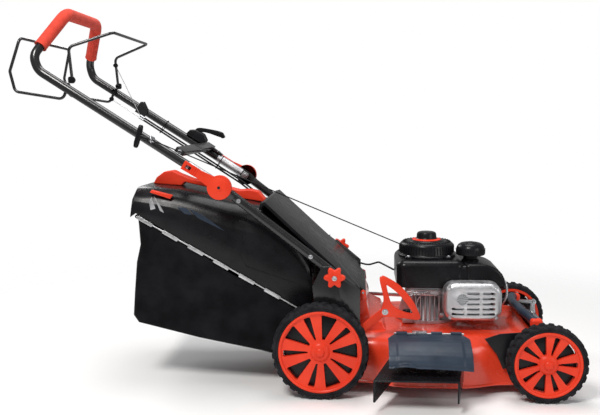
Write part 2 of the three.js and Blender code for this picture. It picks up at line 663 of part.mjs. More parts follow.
function speedLever() {
  const paddle = [[196, 27], [210, 28], [208, 46], [176, 62], [134, 76], [122, 66], [128, 60], [170, 50],
    [192, 40]];
  return join(upperPlate(paddle, [209, 217]),
    upperPlate([[134, 74], [120, 68], [126, 60], [140, 66]], [203, 223]));
}

// The guide eye that the starter rope runs through, on a stud outside the right arm.
const EYE = { x: -441, y: -237, z: 681 };
function ropeGuide() {
  const ring = [];
  for (let k = 0; k <= 6; k += 1) {
    const turn = (k / 6) * 2 * Math.PI;
    ring.push([7.5 + 2.5 * Math.cos(turn), 2.5 * Math.sin(turn)]);
  }
  const eye = turned(ring, 12).rotate([0, 90, 0]).translate([EYE.x, EYE.y, EYE.z]);
  const stud = crossBar(4, EYE.x, [-231, -ARM_Y - TUBE - GAP], EYE.z, 10);
  const pad = crossBar(8, EYE.x, [-227.5, -ARM_Y - TUBE - GAP], EYE.z, 6);
  return join(eye, stud, pad);
}

function starterGrip() {
  const bar = turned([[0, -31], [5, -31], [7, -26], [7.5, 0], [7, 26], [5, 31], [0, 31]], 14)
    .rotate([0, 17, 0]).translate([-474, EYE.y, 690]);
  const nose = turned([[0, 0], [6.5, 0], [3, 22], [0, 22]], 12).rotate([0, 107, 0])
    .translate([-470, EYE.y, 689]);
  return join(bar, nose);
}

function cableBracket() {
  return upperPlate([[368, -16], [404, -16], [404, 20], [392, 28], [368, 12]], [195.6, 199.6]);
}

// The two operating bails: bent wires hinged inside the arms.
const REAR_BAIL = { x: -675, z: 824 };
const FRONT_BAIL = { x: -661, z: 840 };
const BAIL_Y = 195.5;
const BAIL_REAR = -834.27;
function rearBail() {
  const leg = [[REAR_BAIL.x, BAIL_Y, REAR_BAIL.z], [-688, BAIL_Y, 790], [-820, BAIL_Y, 812],
    [BAIL_REAR, 191, 866], [-808, 178, 955]];
  return rod([...leg, ...mirrored(leg)], 4, 16, 6, 2);
}
function frontBail() {
  const leg = [[FRONT_BAIL.x, BAIL_Y, FRONT_BAIL.z], [-668, BAIL_Y, 927], [-555, 165, 966]];
  return rod([...leg, ...mirrored(leg)], 4, 16, 6, 2);
}

// The quick-release lever of each fold: a thick disc with a tongue that hooks over the joint plate.
function camLever(side) {
  const face = crossBar(32, FOLD.x, [230, 246], FOLD.z, 28);
  const tongue = upperPlate([[20, -14], [40, -13], [64, -10], [112, -12], [112, 12], [60, 12], [20, 18]],
    [233, 245]);
  const bore = crossBar(4.4, FOLD.x, [220, 260], FOLD.z, 12);
  const window = upperPlate([[88, -5], [104, -5], [104, 6], [88, 6]], [220, 260]);
  const left = cut(join(face, tongue), bore, window);
  return side < 0 ? left.mirror([0, 1, 0]) : left;
}

function starKnob(side) {
  const star = [];
  for (let k = 0; k < 24; k += 1) {
    const turn = (k / 24) * 2 * Math.PI;
    const radius = 24 + 4.5 * Math.cos(6 * turn);
    star.push([KNOB.x + radius * Math.cos(turn), KNOB.z + radius * Math.sin(turn)]);
  }
  const collar = crossBar(11, KNOB.x, [230, 242], KNOB.z, 14);
  const stud = crossBar(4, KNOB.x, [225.4, 232], KNOB.z, 10);
  const left = join(widened(outline(star), [240, 260]), collar, stud);
  return side < 0 ? left.mirror([0, 1, 0]) : left;
}

// Bowden cables run below the left arm to the engine and the gearbox; the rope runs to the recoil starter.
function brakeCable() {
  return rod([at(upper(366, -17), 194), at(upper(0, -19), 194), at(lower(200, -19), 194),
    at(lower(380, -14), 194), [122, 194, 268], [160, 140, 290], [202.5, 70, 280]], 2.8, 40, 6, 2);
}
function driveCable() {
  return rod([at(upper(366, -24), 194), at(upper(0, -27), 194), at(lower(200, -27), 194),
    at(lower(370, -24), 194), [112, 194, 236], [126, 172, 206], [126, 153.5, 186]], 2.8, 40, 6, 2);
}
function starterRope() {
  return rod([[-434, EYE.y, 678], [223, -36, 372]], 1.6, 10, 8);
}

SIDES.forEach(([name, side]) => {
  add(`lower_tube_${name}`, BLACK_PAINT, lowerTube(side));
  add(`cam_lever_${name}`, RED_PLASTIC, camLever(side));
  add(`star_knob_${name}`, RED_PLASTIC, starKnob(side));
});
add('upper_tube', BLACK_PAINT, upperTube());
add('foam_grip', RED_FOAM, foamGrip());
add('cross_brace', BLACK_PAINT, crossBrace());
add('control_console', BLACK_PLASTIC, controlConsole());
add('speed_lever', BLACK_PLASTIC, speedLever());
add('rope_guide', STEEL, ropeGuide());
add('starter_grip', BLACK_PLASTIC, starterGrip());
add('cable_bracket', BLACK_PAINT, cableBracket());
add('rear_bail', BLACK_PAINT, rearBail());
add('front_bail', BLACK_PAINT, frontBail());
add('brake_cable', RUBBER, brakeCable());
add('drive_cable', RUBBER, driveCable());
add('starter_rope', RUBBER, starterRope());

// ---------------------------------------------------------------- rear door and grass bag
function rearDoor() {
  const panel = outline([[DOOR_PIN.x - 4, DOOR_PIN.z - 4], [DOOR_PIN.x + 4, DOOR_PIN.z + 4],
    [-150, 511], [-162, 508], [-166, 490], [-160, 489], [-156, 500], [-152, 503]]);
  const barrel = crossBar(7, DOOR_PIN.x, [-142, 142], DOOR_PIN.z, 14);
  const bore = crossBar(3.4, DOOR_PIN.x, [-142 - 60, 142 + 60], DOOR_PIN.z, 12);
  const notch = block([DOOR_PIN.x - 16, DOOR_PIN.x + 12], [142, 200], [DOOR_PIN.z - 12, DOOR_PIN.z + 16]);
  const door = cut(widened(panel, [-188, 188]), notch, notch.mirror([0, 1, 0]));
  return cut(join(door, barrel), bore);
}

const BAG_FRONT = -24;
// The hard lid: a side outline whose top edge drops towards both sides; inset makes its hollow.
function lidBody(inset) {
  const [low, front] = inset > 0 ? [-16, 16] : [0, 0];
  const drops = [[-172, 74], [-160, 34], [-120, 0], [120, 0], [160, 34], [172, 74]];
  return lofted(drops.map(([y, drop]) => ({
    at: y - Math.sign(y) * inset,
    points: [[-508 + inset, 479 + low], [-54, 216 + low], [BAG_FRONT + front, 216 + low],
      [BAG_FRONT + front, 300 - inset], [-40, 386 - inset - drop], [-150, 486 - inset - drop],
      [-250, 505 - inset - drop * 0.8], [-400, 540 - inset - drop * 0.6],
      [-512 + inset, 548 - inset - drop * 0.5], [-524 + inset, 505]],
  })), (x, z, y) => [x, y, z]);
}

function bagLid() {
  const hand = widened(outline([[-402, 566], [-402, 509], [-252, 474], [-252, 566]]), [-38, 38]);
  const pocket = widened(outline([[-406, 566], [-406, 505], [-248, 469], [-248, 566]]), [-42, 42]);
  const well = cut(pocket, hand).intersect(lidBody(0));
  return join(cut(lidBody(0), lidBody(4), hand), well);
}

function bagHandle() {
  return widened(outline([[-498, 547.8], [-415, 541.8], [-405, 552], [-255, 518], [-240, 504.2],
    [-172, 492.6], [-170, 500], [-190, 524], [-215, 530], [-245, 528], [-300, 542], [-385, 562],
    [-418, 575], [-440, 586], [-465, 583], [-488, 566]]), [-22, 22]);
}

function bagFabric() {
  const side = (inset) => [[-505 + inset, 474 - 0.6 * inset], [-503 + inset, 450], [-500 + inset, 392],
    [-512 + inset, 343], [-520 + inset, 264], [-526 + inset, 193], [-512 + inset, 172 + inset],
    [-340, 130 + inset], [-172, 97 + inset], [-139, 89 + inset], [-70, 116 + inset],
    [BAG_FRONT, 150 + inset], [BAG_FRONT, 214], [-54, 213]];
  const inner = side(5).map(([x, z], i) => [i > 10 ? x + 8 : x, i === 0 || i > 11 ? z + 10 : z]);
  const level = (points, y) => ({ at: y, points });
  const place = (x, z, y) => [x, y, z];
  const outer = lofted([level(side(14), -172), level(side(0), -164), level(side(0), 164),
    level(side(14), 172)], place);
  return cut(outer, lofted([level(inner, -166), level(inner, 166)], place));
}

add('rear_door', BLACK_PLASTIC, rearDoor());
add('bag_lid', BLACK_PLASTIC, bagLid());
add('bag_handle', RED_PLASTIC, bagHandle());
add('bag_fabric', FABRIC, bagFabric());

// ---------------------------------------------------------------- stand the mower on its base's centre
const bounds = new THREE.Box3().setFromObject(group);
const middle = bounds.getCenter(new THREE.Vector3());
group.position.set(-middle.x, -middle.y, -bounds.min.z);

export default group;
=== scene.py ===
"""The looks of a walk-behind petrol lawn mower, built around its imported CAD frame.

Drawing coordinates are millimetres: +X forwards, +Y left, +Z up, from the ground under the rear wheels'
axis. at() turns them into the frame's metres.
"""

import json
import math
from contextlib import contextmanager

import bmesh
import bpy
from mathutils import Matrix, Vector

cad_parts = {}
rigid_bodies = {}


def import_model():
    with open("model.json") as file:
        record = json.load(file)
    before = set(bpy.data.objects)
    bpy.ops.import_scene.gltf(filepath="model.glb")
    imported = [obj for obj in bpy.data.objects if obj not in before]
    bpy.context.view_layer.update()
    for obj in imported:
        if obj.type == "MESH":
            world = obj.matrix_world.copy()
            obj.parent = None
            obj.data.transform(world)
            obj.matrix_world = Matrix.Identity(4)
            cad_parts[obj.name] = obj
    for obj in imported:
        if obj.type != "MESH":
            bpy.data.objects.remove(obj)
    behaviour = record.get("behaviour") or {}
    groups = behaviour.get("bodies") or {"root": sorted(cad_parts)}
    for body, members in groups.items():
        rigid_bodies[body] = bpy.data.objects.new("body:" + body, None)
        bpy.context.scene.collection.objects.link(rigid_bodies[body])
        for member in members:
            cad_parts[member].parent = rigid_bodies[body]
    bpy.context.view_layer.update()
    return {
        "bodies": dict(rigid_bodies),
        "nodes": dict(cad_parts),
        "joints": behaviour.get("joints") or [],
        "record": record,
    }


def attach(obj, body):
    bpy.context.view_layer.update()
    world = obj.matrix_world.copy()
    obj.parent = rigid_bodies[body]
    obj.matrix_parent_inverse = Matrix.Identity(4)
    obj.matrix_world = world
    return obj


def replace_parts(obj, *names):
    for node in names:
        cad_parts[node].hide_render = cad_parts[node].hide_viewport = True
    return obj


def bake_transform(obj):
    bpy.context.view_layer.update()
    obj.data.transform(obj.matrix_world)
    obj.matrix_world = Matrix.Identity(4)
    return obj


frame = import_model()
NODES = frame["nodes"]
JOINTS = {joint["name"]: joint for joint in frame["joints"]}
RECORD = frame["record"]
BODY_OF = {node: body for body, nodes in RECORD["behaviour"]["bodies"].items() for node in nodes}
SLOT_OF = {part["node"]: part["material_slot"] for part in RECORD["subparts"]}

MM = 0.001
SIDES = (("right", -1), ("left", 1))
REAR_RIGHT = Vector(JOINTS["wheel_rear_right_spin"]["pos_m"])
REAR_LEFT = Vector(JOINTS["wheel_rear_left_spin"]["pos_m"])
ORIGIN = Vector((REAR_RIGHT.x, (REAR_RIGHT.y + REAR_LEFT.y) / 2, 0))


def at(x, y, z):
    return ORIGIN + Vector((x, y, z)) * MM


def link(name, data):
    obj = bpy.data.objects.new(name, data)
    bpy.context.scene.collection.objects.link(obj)
    return obj


# ---------------------------------------------------------------- camera, floor and light
CAMERA_PLACE = (113.1, -2229, 728.8)
CAMERA_HEADING = 4.72  # degrees to the left of straight across the mower
CAMERA_DIP = 6.47  # degrees below the horizon
CAMERA_ROLL = -0.58
CAMERA_LENS = 46.43


def turn(degrees, axis):
    return Matrix.Rotation(math.radians(degrees), 4, axis)


def make_camera():
    data = bpy.data.cameras.new("camera")
    data.lens = CAMERA_LENS
    camera = link("camera", data)
    camera.matrix_world = (Matrix.Translation(at(*CAMERA_PLACE)) @ turn(CAMERA_HEADING, "Z")
                           @ turn(90 - CAMERA_DIP, "X") @ turn(CAMERA_ROLL, "Z"))
    bpy.context.scene.camera = camera


def area_light(name, place, target, size, watts, colour=(1, 1, 1)):
    data = bpy.data.lights.new(name, "AREA")
    data.size = size
    data.energy = watts
    data.color = colour
    light = link(name, data)
    light.location = place
    light.rotation_euler = (Vector(target) - Vector(place)).to_track_quat("-Z", "Y").to_euler()


WORLD_LIGHT = 0.30  # what the surroundings give the mower; the sky behind it is seen as plain white
FLOOR_SOLID, FLOOR_GONE = 0.9, 2.1  # metres from the mower between which the floor fades into the sky


def make_studio():
    world = bpy.data.worlds.new("studio")
    bpy.context.scene.world = world
    world.use_nodes = True
    tree = world.node_tree
    sky = tree.nodes["Background"]
    sky.inputs["Color"].default_value = (1, 1, 1, 1)
    seen = tree.nodes.new("ShaderNodeLightPath").outputs["Is Camera Ray"]
    strength = tree.nodes.new("ShaderNodeMath")
    strength.operation = "MULTIPLY_ADD"
    tree.links.new(seen, strength.inputs[0])
    strength.inputs[1].default_value = 1 - WORLD_LIGHT
    strength.inputs[2].default_value = WORLD_LIGHT
    tree.links.new(strength.outputs["Value"], sky.inputs["Strength"])
    area_light("key", (-0.8, -2.2, 2.9), (0.1, 0, 0.3), 0.9, 80, (1, 0.98, 0.95))
    area_light("fill", (2.6, -1.9, 1.3), (0.1, 0, 0.35), 1.2, 16)
    area_light("top", (0.3, 0.3, 2.8), (0.1, 0, 0.3), 1.4, 34)
    area_light("rim", (-1.8, 2.3, 2.0), (0, 0, 0.5), 1.4, 30)
    bpy.context.scene.view_settings.view_transform = "Standard"


def make_floor():
    bpy.ops.mesh.primitive_plane_add(size=2.4 * FLOOR_GONE, location=(0, 0, 0))
    floor = bpy.context.object
    floor.name = "floor"
    material = bpy.data.materials.new("floor")
    material.use_nodes = True
    tree = material.node_tree
    shader = tree.nodes["Principled BSDF"]
    shader.inputs["Base Color"].default_value = (0.92, 0.92, 0.92, 1)
    shader.inputs["Roughness"].default_value = 0.7
    place = tree.nodes.new("ShaderNodeTexCoord").outputs["Object"]
    away = tree.nodes.new("ShaderNodeVectorMath")
    away.operation = "LENGTH"
    tree.links.new(place, away.inputs[0])
    fade = tree.nodes.new("ShaderNodeMapRange")
    fade.interpolation_type = "SMOOTHSTEP"
    for socket, value in (("From Min", FLOOR_SOLID), ("From Max", FLOOR_GONE), ("To Min", 1.0),
                          ("To Max", 0.0)):
        fade.inputs[socket].default_value = value
    tree.links.new(away.outputs["Value"], fade.inputs["Value"])
    tree.links.new(fade.outputs["Result"], shader.inputs["Alpha"])
    floor.data.materials.append(material)


make_camera()
make_studio()
make_floor()


# ---------------------------------------------------------------- materials
class Surface:
    """A principled material whose colour, roughness and relief come from procedural textures."""

    def __init__(self, name, roughness, metallic=0.0, **sockets):
        self.material = bpy.data.materials.new(name)
        self.material.use_nodes = True
        self.tree = self.material.node_tree
        self.shader = self.tree.nodes["Principled BSDF"]
        self.shader.inputs["Metallic"].default_value = metallic
        self.shader.inputs["Roughness"].default_value = roughness
        for socket, value in sockets.items():
            self.shader.inputs[socket.replace("_", " ")].default_value = value
        self.place = self.tree.nodes.new("ShaderNodeTexCoord").outputs["Object"]
        self.height = None

    def node(self, kind, inputs, **settings):
        made = self.tree.nodes.new(kind)
        for setting, value in settings.items():
            setattr(made, setting, value)
        for socket, value in inputs.items():
            if isinstance(value, bpy.types.NodeSocket):
                self.tree.links.new(value, made.inputs[socket])
            else:
                made.inputs[socket].default_value = value
        return made

    def stretched(self, factors):
        return self.node("ShaderNodeMapping", {"Vector": self.place, "Scale": factors}).outputs["Vector"]

    def noise(self, scale, detail=3.0, place=None):
        return self.node("ShaderNodeTexNoise", {"Vector": place or self.place, "Scale": scale,
                                                "Detail": detail}).outputs["Fac"]

    def colour(self, factor, low, high, start=0.35, end=0.65):
        ramp = self.node("ShaderNodeValToRGB", {"Fac": factor})
        for element, position, colour in zip(ramp.color_ramp.elements, (start, end), (low, high)):
            element.position = position
            element.color = (*colour, 1)
        self.tree.links.new(ramp.outputs["Color"], self.shader.inputs["Base Color"])

    def roughen(self, factor, low, high):
        spread = self.node("ShaderNodeMapRange", {"Value": factor, "From Min": 0.3, "From Max": 0.7,
                                                  "To Min": low, "To Max": high})
        self.tree.links.new(spread.outputs["Result"], self.shader.inputs["Roughness"])

    def relief(self, height, strength, distance):
        """Adds a bump; calls after the first stack on it."""
        inputs = {"Height": height, "Strength": strength, "Distance": distance}
        if self.height is not None:
            inputs["Normal"] = self.height
        self.height = self.node("ShaderNodeBump", inputs).outputs["Normal"]
        self.tree.links.new(self.height, self.shader.inputs["Normal"])


def powder_coat(name, low, high, roughness):
    """Gloss powder coat: a fine orange peel over slow colour changes, with dust in the gloss."""
    surface = Surface(name, roughness, Coat_Weight=0.35, Coat_Roughness=0.12)
    surface.colour(surface.noise(9), low, high)
    surface.roughen(surface.noise(30, 2), roughness * 0.92, roughness * 1.12)
    surface.relief(surface.noise(900, 1), 0.10, 0.0004)
    return surface.material


def moulded(name, low, high, roughness, grain=2200, strength=0.12, specular=0.22):
    """Injection-moulded plastic with a spark-eroded grain."""
    surface = Surface(name, roughness, Specular_IOR_Level=specular)
    surface.colour(surface.noise(14), low, high)
    surface.roughen(surface.noise(60, 4), roughness * 0.85, roughness * 1.2)
    surface.relief(surface.noise(grain, 2), strength, 0.0003)
    return surface.material


def foam(name):
    """Closed-cell foam: open pores over a soft, dull colour."""
    surface = Surface(name, 0.85, Sheen_Weight=0.08, Sheen_Roughness=0.5)
    cells = surface.node("ShaderNodeTexVoronoi", {"Vector": surface.place,
                                                  "Scale": 700.0}).outputs["Distance"]
    surface.colour(surface.noise(60), (0.60, 0.040, 0.018), (0.72, 0.055, 0.026))
    surface.relief(cells, 0.45, 0.0006)
    surface.relief(surface.noise(160, 3), 0.2, 0.0008)
    return surface.material


def woven(name):
    """Polyester bag cloth: a square weave, uneven dye and a faint sheen."""
    surface = Surface(name, 0.88, Specular_IOR_Level=0.12, Sheen_Weight=0.05, Sheen_Roughness=0.4)
    threads = [surface.node("ShaderNodeTexWave", {"Vector": surface.place, "Scale": 240.0, "Distortion": 0.6,
                                                  "Detail": 1.0}, bands_direction=way).outputs["Fac"]
               for way in ("X", "Z")]
    weave = surface.node("ShaderNodeMath", {0: threads[0], 1: threads[1]},
                         operation="MULTIPLY").outputs["Value"]
    surface.colour(surface.noise(18, 4), (0.003, 0.003, 0.004), (0.009, 0.009, 0.011))
    surface.relief(weave, 0.35, 0.0005)
    surface.relief(surface.noise(40, 3), 0.25, 0.002)
    return surface.material


def tyre_rubber(name):
    """Moulded tyre: grey bloom, scuffed crown and a fine pitted skin."""
    surface = Surface(name, 0.78, Specular_IOR_Level=0.2)
    surface.colour(surface.noise(35, 5), (0.006, 0.006, 0.008), (0.018, 0.018, 0.021))
    surface.roughen(surface.noise(90, 4), 0.62, 0.92)
    surface.relief(surface.noise(1300, 3), 0.25, 0.0004)
    return surface.material


def brushed(name, low, high, stretch=(14, 400, 400)):
    """Bare steel with drawing marks along X."""
    surface = Surface(name, 0.32, 1.0, Anisotropic=0.4)
    marks = surface.noise(1.0, 4, surface.stretched(stretch))
    surface.colour(marks, low, high)
    surface.roughen(marks, 0.24, 0.42)
    surface.relief(marks, 0.08, 0.0003)
    return surface.material


def cast(name, low, high, roughness):
    """Cast or pressed light metal: grainy, slightly cloudy."""
    surface = Surface(name, roughness, 1.0)
    surface.colour(surface.noise(30, 4), low, high)
    surface.roughen(surface.noise(120, 4), roughness * 0.75, roughness * 1.25)
    surface.relief(surface.noise(1100, 3), 0.22, 0.0004)
    return surface.material


MATERIALS = {
    "red_paint": powder_coat("red_paint", (0.76, 0.048, 0.016), (0.82, 0.056, 0.020), 0.26),
    "red_plastic": moulded("red_plastic", (0.70, 0.040, 0.015), (0.80, 0.055, 0.022), 0.34, strength=0.06),
    "red_foam": foam("red_foam"),
    "black_paint": powder_coat("black_paint", (0.006, 0.006, 0.007), (0.012, 0.012, 0.014), 0.24),
    "black_plastic": moulded("black_plastic", (0.004, 0.004, 0.005), (0.009, 0.009, 0.011), 0.27,
                             strength=0.05),
    "grey_plastic": moulded("grey_plastic", (0.020, 0.030, 0.048), (0.032, 0.046, 0.070), 0.36),
    "fabric": woven("fabric"),
    "tyre": tyre_rubber("tyre"),
    "black_rubber": moulded("black_rubber", (0.008, 0.008, 0.009), (0.016, 0.016, 0.017), 0.55, 900, 0.2),
    "steel": brushed("steel", (0.42, 0.43, 0.45), (0.62, 0.63, 0.65)),
    "aluminium": cast("aluminium", (0.42, 0.42, 0.44), (0.60, 0.60, 0.62), 0.48),
    "guard": cast("guard", (0.56, 0.56, 0.58), (0.70, 0.70, 0.72), 0.42),
}


# ---------------------------------------------------------------- making pieces
def dress(obj, node, material=None):
    """Gives a made piece its material and its CAD body, and the record's slot."""
    slot = material or SLOT_OF[node]
    obj.data.materials.clear()
    obj.data.materials.append(MATERIALS[slot])
    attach(obj, BODY_OF[node])
    return obj


def stand_for(obj, *nodes, material=None):
    """A made piece that replaces CAD nodes of one body."""
    dress(obj, nodes[0], material)
    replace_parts(obj, *nodes)
    return obj


def smooth(obj, angle=32):
    """Smooth faces, with the edges sharper than the angle kept hard."""
    for face in obj.data.polygons:
        face.use_smooth = True
    obj.data.set_sharp_from_angle(angle=math.radians(angle))
    return obj


def evaluated(obj):
    """A new mesh of what the object's modifiers or curve make."""
    bpy.context.view_layer.update()
    return bpy.data.meshes.new_from_object(obj.evaluated_get(bpy.context.evaluated_depsgraph_get()))


def applied(obj):
    """The object with its modifiers turned into mesh."""
    mesh = evaluated(obj)
    obj.modifiers.clear()
    obj.data = mesh
    return obj


def bevelled(obj, width, segments=3, angle=30):
    """Rounds the edges sharper than the angle, width in millimetres."""
    bevel = obj.modifiers.new("bevel", "BEVEL")
    bevel.width = width * MM
    bevel.segments = segments
    bevel.limit_method = "ANGLE"
    bevel.angle_limit = math.radians(angle)
    bevel.use_clamp_overlap = True
    bevel.miter_outer = "MITER_ARC"
    return smooth(applied(obj))


WELD = 0.00002  # metres within which a CAD mesh's corners are one corner


@contextmanager
def edited(mesh, *sources):
    """The sources' meshes, or the mesh itself, open for editing and then written into the mesh."""
    work = bmesh.new()
    for source in sources or (mesh,):
        work.from_mesh(source)
    yield work
    work.to_mesh(mesh)
    work.free()


def flat_again(work):
    """Merges triangles that lie in one plane."""
    bmesh.ops.dissolve_limit(work, angle_limit=math.radians(1.0), verts=work.verts, edges=work.edges)


def cleaned_copy(node, name):
    """A copy of a CAD node's mesh with its triangles merged back into flat faces."""
    mesh = bpy.data.meshes.new(name)
    with edited(mesh, NODES[node].data) as work:
        bmesh.ops.remove_doubles(work, verts=work.verts, dist=WELD)
        flat_again(work)
    return link(name, mesh)


def refined(node, width=1.2, segments=3, angle=30):
    """Stands for a CAD node in its own shape, with every edge rounded as a real part's is."""
    obj = bevelled(cleaned_copy(node, f"{node}_skin"), width, segments, angle)
    return stand_for(obj, node)


def faces_to_object(name, points, faces):
    mesh = bpy.data.meshes.new(name)
    mesh.from_pydata([tuple(point) for point in points], [], faces)
    mesh.update()
    obj = link(name, mesh)
    with edited(mesh) as work:
        bmesh.ops.remove_doubles(work, verts=work.verts, dist=1e-6)
        bmesh.ops.recalc_face_normals(work, faces=work.faces)
    return obj


def rings_to_object(name, rings, closed=False, caps=True):
    """Joins rings of equal length into a skin; closed joins the last ring to the first."""
    size = len(rings[0])
    points = [point for ring in rings for point in ring]
    faces = []
    for index in range(len(rings) if closed else len(rings) - 1):
        this, following = index * size, (index + 1) % len(rings) * size
        for k in range(size):
            after = (k + 1) % size
            faces.append((this + k, this + after, following + after, following + k))
    if caps and not closed:
        faces.append(tuple(range(size)))
        faces.append(tuple(range(len(points) - size, len(points))))
    return faces_to_object(name, points, faces)


def lathe(name, profile, centre, axis="Y", segments=96):
    """Turns a closed (radius, along) profile about an axis through centre. Millimetres."""
    rings = []
    for k in range(segments):
        angle = 2 * math.pi * k / segments
        c, s = math.cos(angle), math.sin(angle)
        spots = {"Y": lambda r, a: (r * c, a, r * s), "Z": lambda r, a: (r * c, r * s, a),
                 "X": lambda r, a: (a, r * c, r * s)}
        rings.append([at(*(base + step for base, step in zip(centre, spots[axis](r, a)))) for r,
                      a in profile])
    return rings_to_object(name, rings, closed=True)


def rod(name, radius, span, centre, axis="Y", segments=96):
    """A plain cylinder between two distances along axis."""
    low, high = span
    return lathe(name, [(0.1, low), (radius, low), (radius, high), (0.1, high)], centre, axis, segments)


def beside(side, near, far):
    """The span between two distances from the middle plane, on one side of it, in rising order."""
    return tuple(sorted((side * near, side * far)))


def rounded_outline(u, v, radius, steps=8):
    """A rectangle's outline with quarter circles at its corners, as (u, v) points."""
    corners = ((u[1] - radius, v[1] - radius, 0), (u[0] + radius, v[1] - radius, 90),
               (u[0] + radius, v[0] + radius, 180), (u[1] - radius, v[0] + radius, 270))
    return [(cu + radius * math.cos(math.radians(start + 90 * k / steps)),
             cv + radius * math.sin(math.radians(start + 90 * k / steps)))
            for cu, cv, start in corners for k in range(steps + 1)]


AXIS_ORDER = {"Z": lambda u, v, w: (u, v, w), "Y": lambda u, v, w: (u, w, v), "X": lambda u, v, w: (w, u, v)}


def crowned_block(name, u, v, w, corner, low=2.0, high=2.0, axis="Z", steps=8):
    """A block with rounded corners and edges: low and high are the edge radii at its two ends along axis."""
    rings = []
    for radius, end, sign in ((low, w[0], 1), (high, w[1], -1)):
        turns = [(radius * (1 - math.sin(math.radians(90 * k / steps))),
                  radius * (1 - math.cos(math.radians(90 * k / steps)))) for k in range(steps + 1)]
        if sign < 0:
            turns.reverse()
        for inset, rise in turns:
            ring = rounded_outline((u[0] + inset, u[1] - inset), (v[0] + inset, v[1] - inset),
                                   max(corner - inset, 0.3), steps)
            rings.append([at(*AXIS_ORDER[axis](a, b, end + sign * rise)) for a, b in ring])
    return rings_to_object(name, rings)


def prism(name, outline, span, axis="Z"):
    """An outline of (u, v) points, extruded from span[0] to span[1] along axis."""
    return rings_to_object(name, [[at(*AXIS_ORDER[axis](u, v, w)) for u, v in outline] for w in span])


def boolean(obj, tools, operation="DIFFERENCE"):
    """Cuts the tools out of a piece, or joins them to it, and removes them."""
    for tool in tools:
        modifier = obj.modifiers.new("boolean", "BOOLEAN")
        modifier.operation = operation
        modifier.object = tool
        modifier.solver = "EXACT"
    applied(obj)
    for tool in tools:
        bpy.data.objects.remove(tool)
    return obj


def joined(obj, others):
    """Several meshes as one piece, without cutting."""
    with edited(obj.data, *(one.data for one in (obj, *others))):
        pass  # reading them all in is what joins them
    for one in others:
        bpy.data.objects.remove(one)
    return obj


# ---------------------------------------------------------------- wheels and tyres
AXLES = (("rear", 0, 127.0, 109.0, 30, 3), ("front", 582, 101.6, 86.0, 26, 36))
OUTER_FACE = 280
WHEEL_HALF = 24
CAD_CORNER = 1 / math.cos(math.pi / 26)  # a rim meets its tyre where the CAD facets' corners do
TREAD_DEPTH = 4.2


def lug_height(turns, across, rows):
    """1 on a tread block and 0 in a groove; the two rows are offset by half a block and slanted."""
    side = 1 if across > 0 else -1
    phase = turns * rows + 0.25 * side + abs(across) * 0.016
    inside = abs((phase % 1) - 0.5) * 2
    block = min(max((0.66 - inside) / 0.16, 0), 1)
    centre = min(max((abs(across) - 1.6) / 1.2, 0), 1)
    return block * centre


def make_tyre(name, place, radius, rim, rows):
    """Tread blocks over a crowned carcass, a moulded rib and a groove on each side wall."""
    across = [-23 + 2 * k for k in range(24)]
    segments = rows * 12
    rings = []
    for k in range(segments):
        turns = k / segments
        profile = [(rim + 0.4, -WHEEL_HALF + 4), (rim + 1, -WHEEL_HALF + 1), (rim + 3, -WHEEL_HALF + 0.2),
                   (rim + 5, -WHEEL_HALF + 0.2), (rim + 6, -WHEEL_HALF + 1.6), (rim + 7.4, -WHEEL_HALF + 1.6),
                   (rim + 8.2, -WHEEL_HALF + 0.4)]
        for y in across:
            shoulder = max(abs(y) - 15, 0)
            crown = radius - 0.045 * shoulder ** 2 * radius / 127
            profile.append((crown - TREAD_DEPTH * (1 - lug_height(turns, y, rows)) * 0.9, y))
        profile += [(r, -y) for r, y in reversed(profile[:7])]
        c, s = math.cos(2 * math.pi * turns), math.sin(2 * math.pi * turns)
        rings.append([at(place[0] + r * c, place[1] + y, place[2] + r * s) for r, y in profile])
    return smooth(rings_to_object(name, rings, closed=True), 28)


def window(rim, angle, inner_half, outer_half, span, centre, side):
    """A wedge between two spokes; it narrows towards the hub."""
    inner, outer = 0.30 * rim, rim - 12
    wedge = [(inner, -inner_half), (outer - 3, -outer_half), (outer, -outer_half + 3),
             (outer, outer_half - 3),
             (outer - 3, outer_half), (inner, inner_half)]
    c, s = math.cos(math.radians(angle)), math.sin(math.radians(angle))
    points = [(centre[0] + u * c - v * s, centre[2] + u * s + v * c) for u, v in wedge]
    ends = sorted(centre[1] + side * w for w in span)
    return prism("window", points, ends, "Y")


def make_wheel(name, centre, rim, wide_angle, side):
    """Dished disc, rim flange, hub boss and ten windows."""
    out = rim * CAD_CORNER - 0.6
    profile = [(6.4, -23), (17, -23), (17, 2), (20, 6), (rim - 12, 7), (rim - 8, 5.5), (rim - 8, -23),
               (out, -23),
               (out, 22), (out - 1.5, 23.4), (rim - 5,
                                              23.4), (rim - 7, 22), (rim - 8.5, 18), (rim - 13, 16.6),
               (34, 15), (30, 16.5), (26, 16.5), (23, 20), (19, 23), (13, 24), (6.4, 24), (0.5, 24),
               (0.5, 14), (6.4, 14)]
    disc = lathe(name, [(r, side * a) for r, a in profile], centre)
    windows = []
    for k in range(5):
        angle = 72 * k - side * wide_angle
        windows.append(window(rim, angle, 3.2, 0.19 * rim, (-1, 30), centre, side))
        windows.append(window(rim, angle + 36, 2.2, 0.085 * rim, (-1, 30), centre, side))
    boolean(disc, windows)
    return bevelled(disc, 1.3, 2, 35)


